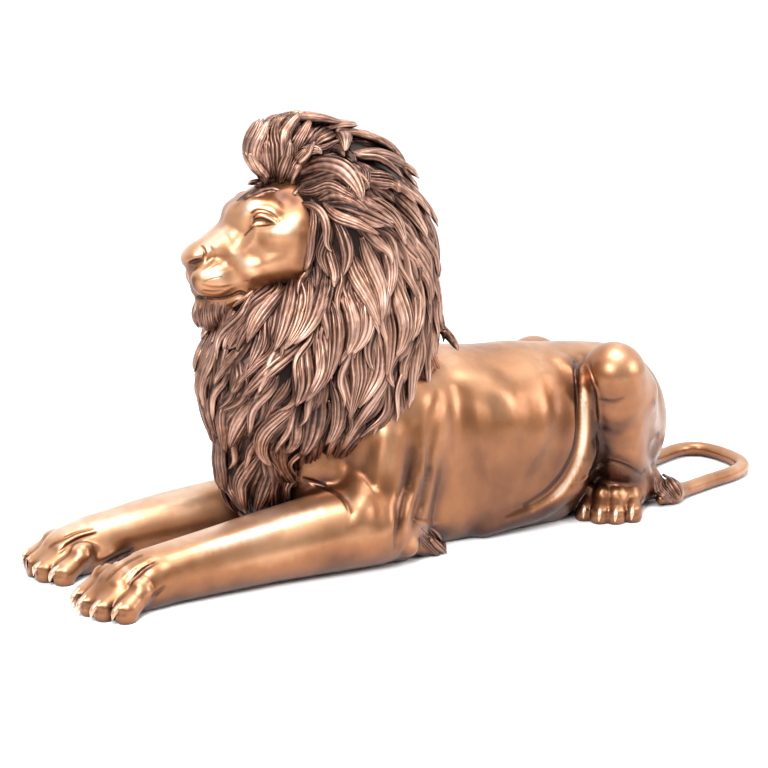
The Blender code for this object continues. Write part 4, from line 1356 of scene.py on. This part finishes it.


# %% [markdown]
# ### Patina and painted light brushed on
# Some changes of tone don't follow the form. The belly, the armpit and the underside of the jaw
# are browner with painted shade, and the cheek, the knee and the knuckles are lighter, partly
# polished by hands and partly with painted highlights. These are soft brush strokes drawn on the
# picture, and their tone is kept on the corners. A painted image would need an unwrapped mesh.

# %% Strokes of patina, painted shade and painted highlights
def painted(strokes, clay, places, mirrored):
    """Patina, painted shade and painted highlights along strokes: above 0 darker, below 0 lighter."""
    laid = np.zeros(len(places))
    for radius, darkness, *points in strokes:
        line = cast(smooth_stroke(points, 5 * len(points)), clay)
        brushed = np.concatenate((line, mirrored(line)))
        reach = radius / 1000 * 2.2
        low, high = brushed.min(0) - reach, brushed.max(0) + reach
        around = ((places > low) & (places < high)).all(1)
        apart = np.linalg.norm(places[around][:, None] - brushed[None], axis=2).min(1)
        laid[around] += darkness * np.exp(-(apart / (radius / 1000)) ** 2)
    return laid


# radius in millimetres, darkness, points in the picture
FACE_PATINA_AND_PAINTED_LIGHT = (
    # eye, nostril and mouth: dark patina with painted shade in them
    (2.6, 0.55, (254, 217), (254, 222), (253, 227), (249, 231), (245, 235)),
    (2.2, 0.45, (254, 217), (258, 213.5), (263, 213.5), (270, 216.5), (277, 222)),
    (5.0, 0.38, (257, 220), (264, 220), (272, 222)),
    (2.6, 0.30, (255, 227), (262, 226), (270, 225), (277, 224)),
    (4.0, 0.45, (190, 263), (196, 262), (201, 260)), (2.6, 0.25, (203, 257), (205, 252), (203, 246)),
    (3.0, 0.45, (197, 297), (208, 298), (220, 298.5), (232, 296), (241, 293)),
    (3.0, 0.4, (241, 293), (247, 296)),
    # painted shade on the front of the lip, under the chin and under the jaw
    (11, 0.50, (184, 268), (187, 280), (193, 293)), (12, 0.22, (204, 306), (218, 305), (230, 302)),
    (15, 0.50, (226, 326), (238, 318), (252, 312)), (20, 0.42, (250, 308), (270, 298), (290, 284)),
    (12, 0.25, (300, 262), (303, 240), (301, 222)),
    # brow and forehead, browner
    (30, 0.34, (268, 190), (290, 200)), (16, 0.12, (236, 206), (226, 216)),
    (14, 0.15, (262, 243), (272, 244)),
    # lighter over the eye, cheek, nose and pad: painted highlights on rubbed bronze
    (12, -0.22, (247, 212), (251, 205), (258, 202)), (26, -0.22, (282, 226), (294, 222)),
    (14, -0.18, (238, 254), (246, 266), (254, 272)), (12, -0.15, (198, 251), (212, 240), (226, 228)),
    (13, -0.18, (208, 274), (220, 272)), (5, -0.25, (238, 299), (245, 298)))
BODY_PATINA_AND_PAINTED_LIGHT = (
    # painted shade under the belly, in the hollow of the thigh, at the ankle and on the foot
    (45, 0.42, (450, 545), (500, 530), (545, 512)), (16, 0.30, (592, 470), (596, 450), (594, 425)),
    (22, 0.16, (604, 474), (622, 474), (638, 480)), (32, 0.16, (608, 440), (628, 420)),
    (6, 0.55, (654, 402), (656, 409), (656, 417)), (30, 0.14, (556, 400), (560, 430)),
    # painted shade in the armpit and at the elbow and wrist
    (16, 0.26, (412, 452), (404, 490), (398, 530)), (12, 0.28, (428, 470), (420, 505), (413, 526)),
    (14, 0.22, (372, 446), (364, 470)), (30, 0.10, (300, 560), (350, 556)),
    (16, 0.32, (424, 556), (436, 550)), (24, 0.16, (150, 606), (190, 600)),
    # lighter on the edge of the fold, knee, hip, shoulder, forearm and knuckles: wear rubbed bright, with
    # painted highlights
    (13, -0.42, (582, 366), (584, 398), (584, 428), (580, 454), (570, 477), (556, 494), (534, 508)),
    (26, -0.16, (616, 346), (622, 372)), (34, -0.12, (486, 386), (500, 410)),
    (12, -0.20, (407, 546), (414, 540)),
    (26, -0.16, (392, 432), (388, 466)), (10, -0.22, (344, 492), (352, 504)),
    (14, -0.16, (200, 556), (260, 530), (320, 510)), (10, -0.22, (586, 490), (634, 493)),
    (10, -0.20, (118, 562), (138, 580)), (9, -0.20, (60, 548), (74, 548)))

# %% Shading the skins
for piece, clay, reaches, lines, patina_and_painted_light, mirrored, fade in (
        (hide, BODY_CLAY, (0.008, 0.02, 0.05), BODY_LINES, BODY_PATINA_AND_PAINTED_LIGHT, other_flank, 0.006),
        (face, HEAD_CLAY, (0.004, 0.010, 0.025), FACE_LINES, FACE_PATINA_AND_PAINTED_LIGHT, other_half, 0.003)):
    places, outward = corners(piece.data), facing(piece.data)
    # painted shade on top of the patina: corners with clay in front of them, and carved lines, are darkened
    hidden = hidden_by(clay, places, outward, reaches) + 0.16 * in_grooves(places, lines, fade)
    # painted shade on what faces down, and the brushed strokes of patina, painted shade and painted
    # highlights
    hidden += 0.38 * np.clip(0.10 - outward[:, 2], 0, 1) + painted(patina_and_painted_light, clay, places, mirrored)
    store(piece.data, "patina_and_painted_shading", hidden)

# %% [markdown]
# ### Rubbed bright, with painted light
# Rain runs over the back, and hands stroke the paws and the face, burnishing them to a pale gold.
# What faces up or lies ahead is made lighter for that, and for painted light where the lamps above
# and in front fall. This goes by place and direction on the body. The face is bright all over but
# for the brow, and brighter where it faces up, which is painted light as well.

# %% Wear, and painted light on what faces up or lies ahead, brightening the skins
places, outward = corners(hide.data), facing(hide.data)
# painted light with wear: faces turned up, and the front of the body, are made lighter
ahead = np.clip((-0.30 - places[:, 0]) / 0.45, 0, 1)
upward = np.clip(outward[:, 2], 0, 1)
wear_and_painted_light = 0.28 * upward + ahead * (0.06 + 0.42 * upward)
# each stroke of the body makes two lines, one on either side
fold = 2 * BODY_STROKES.index(FOLD_STROKE)
for line in BODY_LINES[fold:fold + 2]:
    wear_and_painted_light = np.maximum(wear_and_painted_light, 0.75 * np.clip(1 - depth_in(line, places) / 0.004, 0, 1))
store(hide.data, "wear_and_painted_light", wear_and_painted_light)
# the face: painted light where it faces up, and darker on the brow
outward = facing(face.data)
brow = np.clip((in_head(corners(face.data))[:, 2] - 0.09) / 0.05, 0, 1)
store(face.data, "wear_and_painted_light", np.clip(0.60 + 0.25 * outward[:, 2] - 0.55 * brow, 0.05, 1))
print("rubbed bright", round(float((wear_and_painted_light > 0.4).mean()), 2), "of the body")

# %% [markdown]
# ### Recess in the mane
# In the mane a corner is dark if it lies below the tops of the locks around it: patina in the
# hollows, with painted shade between the locks. Space is cut into small cells, each keeps the
# highest corner in it, and the cells are evened out with their neighbours. The lower mane and the
# breast get more painted shade, the crown is darkened a little more, and the bed, as painted
# shade, much more.

# %% Tops of the locks
CELL = 0.016
EMPTY = -1.0


def height_over(clay, places):
    """Signed distance of the places from the clay in metres."""
    here, rise = slope(clay, places)
    return here / np.maximum(np.linalg.norm(rise, axis=1), 0.3)


def tops_around(places, height):
    """How high the tops of the locks round each place are."""
    cells = np.floor(places / CELL).astype(np.int64)
    cells = cells - np.floor(places.min(0) / CELL).astype(np.int64) + 3
    shape = cells.max(0) + 4
    spot = np.ravel_multi_index(cells.T, shape)
    top = np.full(shape.prod(), EMPTY)
    np.maximum.at(top, spot, height)
    top = top.reshape(shape)
    known = top > EMPTY + 0.1
    total, weight = np.where(known, top, 0), known.astype(float)
    for _ in range(2):
        for axis in range(3):
            total = (np.roll(total, 1, axis) + total * 2 + np.roll(total, -1, axis)) / 4
            weight = (np.roll(weight, 1, axis) + weight * 2 + np.roll(weight, -1, axis)) / 4
    return (total / np.maximum(weight, 1e-6)).ravel()[spot]


# %% Recess in the mane
LOCK_DEPTH = 0.020
hair.append(ruff)
places = np.concatenate([corners(piece.data) for piece in hair])
height = height_over(MANE_CLAY, places)
below = np.clip((tops_around(places, height) - height) / LOCK_DEPTH, -1, 1.5)
# painted shade: darker low down and on the breast
low = np.clip((0.70 - places[:, 2]) / 0.30, 0, 1)
breast = np.clip((-0.42 - places[:, 0]) / 0.12, 0, 1)
shaded = low + 0.6 * breast
shaded[places[:, 2] > 0.85] = 0
below += 0.16 * np.minimum(shaded, 1)
below[places[:, 2] > 1.02] += 0.06
# painted shade: the bed that shows between the locks is darkened much more
below[-len(ruff.data.vertices):] += 0.35
start = 0
for piece in hair:
    count = len(piece.data.vertices)
    store(piece.data, "patina_and_painted_shading", below[start:start + count])
    start += count
spread = np.round(np.percentile(below, (5, 50, 95)), 2)
print("mane lies", spread, "below its tops, in fiftieths of a metre")

# %% [markdown]
# ## Finish
# One bronze runs over the whole casting, browner and brighter on the smooth skin and duskier
# in the hair. The stored patina and painted shade turn it dark, wear and painted light make a
# crest bright, and slow changes of colour and roughness keep the wide smooth parts from looking
# like plastic. The lacquer over it is what gives the creamy lights.

# %% Bronze
def bronze(name, hair):
    """Patinated bronze; in the hair its grooves are read from the strands."""
    material = bpy.data.materials.new(name)
    material.use_nodes = True
    tree = material.node_tree
    shader = tree.nodes["Principled BSDF"]

    def node(kind, **values):
        made = tree.nodes.new(kind)
        for key, value in values.items():
            setattr(made, key, value)
        return made

    def join(source, target):
        tree.links.new(source, target)

    def ramp(source, *stops):
        made = node("ShaderNodeValToRGB")
        elements = made.color_ramp.elements
        while len(elements) < len(stops):
            elements.new(0.5)
        for element, (place, colour) in zip(elements, stops):
            element.position = place
            element.color = (*colour, 1)
        join(source, made.inputs[0])
        return made.outputs[0]

    def sums(operation, first, second):
        made = node("ShaderNodeMath", operation=operation)
        for socket, value in zip(made.inputs, (first, second)):
            if isinstance(value, (int, float)):
                socket.default_value = value
            else:
                join(value, socket)
        return made.outputs[0]

    def mixed(share, first, second, kind="MIX"):
        made = node("ShaderNodeMix", data_type="RGBA", blend_type=kind)
        for socket, value in zip((made.inputs[0], made.inputs[6], made.inputs[7]), (share, first, second)):
            if isinstance(value, (int, float)):
                socket.default_value = value
            elif isinstance(value, tuple):
                socket.default_value = (*value, 1)
            else:
                join(value, socket)
        return made.outputs[2]

    def noise(scale, detail, stretch=(1, 1, 1)):
        made = node("ShaderNodeTexNoise")
        made.inputs["Scale"].default_value = scale
        made.inputs["Detail"].default_value = detail
        mapping = node("ShaderNodeMapping")
        mapping.inputs["Scale"].default_value = stretch
        join(place.outputs["Object"], mapping.inputs["Vector"])
        join(mapping.outputs[0], made.inputs["Vector"])
        return made.outputs["Fac"]

    place = node("ShaderNodeTexCoord")
    patina_and_painted_shading = node("ShaderNodeAttribute", attribute_name="patina_and_painted_shading").outputs["Fac"]
    clouds = noise(4.5, 4, (1, 1, 0.6))
    mottle = noise(26, 4)
    grain = noise(190, 2)
    if hair:
        strand = node("ShaderNodeAttribute", attribute_name="strand").outputs["Fac"]
        shade = node("ShaderNodeAttribute", attribute_name="shade").outputs["Fac"]
        lines = node("ShaderNodeCombineXYZ")
        join(node("ShaderNodeAttribute", attribute_name="hair_across").outputs["Fac"], lines.inputs[0])
        join(node("ShaderNodeAttribute", attribute_name="hair_along").outputs["Fac"], lines.inputs[1])
        combed_lines = node("ShaderNodeTexNoise")
        combed_lines.inputs["Scale"].default_value = 2.4
        combed_lines.inputs["Detail"].default_value = 3
        join(lines.outputs[0], combed_lines.inputs["Vector"])
        fibre = combed_lines.outputs["Fac"]
        # the grooves between the strands are darker: patina with painted shade
        grooves = sums("MULTIPLY", sums("SUBTRACT", 1.0, strand), 0.42)
        deep = sums("ADD", sums("MULTIPLY", patina_and_painted_shading, 0.62), grooves)
        deep = sums("ADD", deep, sums("MULTIPLY", sums("SUBTRACT", clouds, 0.5), 0.70))
        deep = sums("ADD", deep, sums("MULTIPLY", sums("SUBTRACT", fibre, 0.5), 0.55))
        deep = sums("ADD", deep, sums("MULTIPLY", sums("SUBTRACT", shade, 0.5), 0.16))
        deep = sums("ADD", deep, 0.42)
        colour = ramp(
            deep, (0.10, (0.64, 0.46, 0.36)), (0.32, (0.40, 0.240, 0.170)), (0.52, (0.190, 0.098, 0.066)),
            (0.74, (0.048, 0.023, 0.016)), (1.0, (0.012, 0.006, 0.005)))
        tint = ramp(mottle, (0.35, (1.0, 0.94, 0.90)), (0.65, (0.92, 0.90, 0.98)))
        colour = mixed(1.0, colour, tint, "MULTIPLY")
    else:
        wear_and_painted_light = node("ShaderNodeAttribute", attribute_name="wear_and_painted_light").outputs["Fac"]
        cloudy = sums("MULTIPLY", sums("SUBTRACT", clouds, 0.5), 0.75)
        # darker by the stored patina and painted shade, lighter by wear and painted light
        deep = sums("ADD", sums("MULTIPLY", patina_and_painted_shading, 0.95), cloudy)
        deep = sums("ADD", deep, sums("MULTIPLY", sums("SUBTRACT", mottle, 0.5), 0.12))
        deep = sums("SUBTRACT", sums("ADD", deep, 0.42), sums("MULTIPLY", wear_and_painted_light, 0.42))
        colour = ramp(
            deep, (0.0, (0.80, 0.59, 0.44)), (0.22, (0.50, 0.262, 0.140)), (0.45, (0.265, 0.108, 0.044)),
            (0.72, (0.120, 0.045, 0.020)), (1.0, (0.040, 0.015, 0.008)))
    join(colour, shader.inputs["Base Color"])
    shader.inputs["Metallic"].default_value = 0.88
    rough = sums("ADD", sums("MULTIPLY", mottle, 0.20), 0.32 if hair else 0.27)
    join(rough, shader.inputs["Roughness"])
    shader.inputs["Coat Weight"].default_value = 0.16 if hair else 0.30
    shader.inputs["Coat Roughness"].default_value = 0.22
    bump = node("ShaderNodeBump")
    bump.inputs["Strength"].default_value = 0.06
    bump.inputs["Distance"].default_value = 0.002
    if hair:
        bump.inputs["Strength"].default_value = 0.6
        join(sums("ADD", fibre, sums("MULTIPLY", grain, 0.15)), bump.inputs["Height"])
    else:
        join(sums("ADD", grain, sums("MULTIPLY", mottle, 2.0)), bump.inputs["Height"])
    join(bump.outputs[0], shader.inputs["Normal"])
    return material


# %% [markdown]
# ## Fitting and riding
# The library places this surface by the solid, so it has to stay in the solid's box. The top
# of the mane is drawn down a little, and nothing lies below the ground. Scaling the whole mane
# would do it too, but would pull the locks off the face. Every piece rides on the one body,
# and the lion's own part of the solid is hidden.

# %% Fit every piece and let it ride
PEAK_FROM = 1.12
peak = max(corners(piece.data)[:, 2].max() for piece in hair)
squash = min(1, (solid_box[1][2] - PEAK_FROM) / (peak - PEAK_FROM))
print("top of the mane", round(peak, 3), "brought to", round(solid_box[1][2], 3))
skin_metal = bronze("bronze_skin", False)
hair_metal = bronze("bronze_hair", True)
for piece in (hide, face, claws, *hair, *tufts):
    places = corners(piece.data)
    high = np.maximum(places[:, 2] - PEAK_FROM, 0)
    places[:, 2] -= high - high * squash
    place_corners(piece.data, np.clip(places, solid_box[0], solid_box[1]))
    piece.data.materials.clear()
    piece.data.materials.append(hair_metal if piece in hair + tufts else skin_metal)
    piece.data.polygons.foreach_set("use_smooth", np.ones(len(piece.data.polygons), bool))
    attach(piece, "root")
    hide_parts("lion")

# %% [markdown]
# ## Floor and light
# The photograph was taken on white paper under a broad sky. A pale floor and a sky that is
# brighter behind and above do the same, and three large soft lamps give the long highlights
# along the forelegs and the back. A picture of a real sky would light it too, but the scene
# reads no files.

# %% Floor
FLOOR_HALF = 60
PAPER_WHITE = (0.93, 0.93, 0.93, 1)
ground = bmesh.new()
bmesh.ops.create_grid(ground, x_segments=1, y_segments=1, size=FLOOR_HALF)
floor = linked("floor", as_mesh("floor", ground))
paper = bpy.data.materials.new("pale_floor")
paper.use_nodes = True
surface = paper.node_tree.nodes["Principled BSDF"]
surface.inputs["Base Color"].default_value = PAPER_WHITE
surface.inputs["Roughness"].default_value = 0.9
floor.data.materials.append(paper)

# %% Sky
SKY_LEAN = (0.20, 0.62, 0.75)
SKY_FADE = (("From Min", -0.30), ("From Max", 0.45), ("To Min", 0.25), ("To Max", 1.35))
sky = bpy.data.worlds.new("studio")
sky.use_nodes = True
tree = sky.node_tree
around = tree.nodes.new("ShaderNodeTexCoord")
lean = tree.nodes.new("ShaderNodeVectorMath")
lean.operation = "DOT_PRODUCT"
lean.inputs[1].default_value = SKY_LEAN
fade = tree.nodes.new("ShaderNodeMapRange")
for socket, value in SKY_FADE:
    fade.inputs[socket].default_value = value
tree.links.new(around.outputs["Generated"], lean.inputs[0])
tree.links.new(lean.outputs["Value"], fade.inputs["Value"])
tree.links.new(fade.outputs[0], tree.nodes["Background"].inputs["Strength"])
tree.nodes["Background"].inputs["Color"].default_value = (1, 1, 1, 1)
bpy.context.scene.world = sky
bpy.context.scene.view_settings.view_transform = "Standard"


# %% Lamps
def lamp(name, place, aim, size, power):
    """A soft square light at a place, facing another."""
    light = bpy.data.lights.new(name, "AREA")
    light.energy = power
    light.size = size
    made = bpy.data.objects.new(name, light)
    bpy.context.scene.collection.objects.link(made)
    made.location = place
    made.rotation_euler = (Vector(place) - Vector(aim)).to_track_quat("Z", "Y").to_euler()


lamp("key_light", (-2.3, -2.3, 2.8), (-0.50, 0, 0.65), 1.4, 160)
lamp("top_light", (0.3, -0.6, 4.0), (0.1, 0, 0.3), 2.2, 130)
lamp("fill_light", (2.8, -2.4, 1.8), (0.2, 0, 0.4), 1.6, 60)
print("lamps", len(bpy.data.lights))
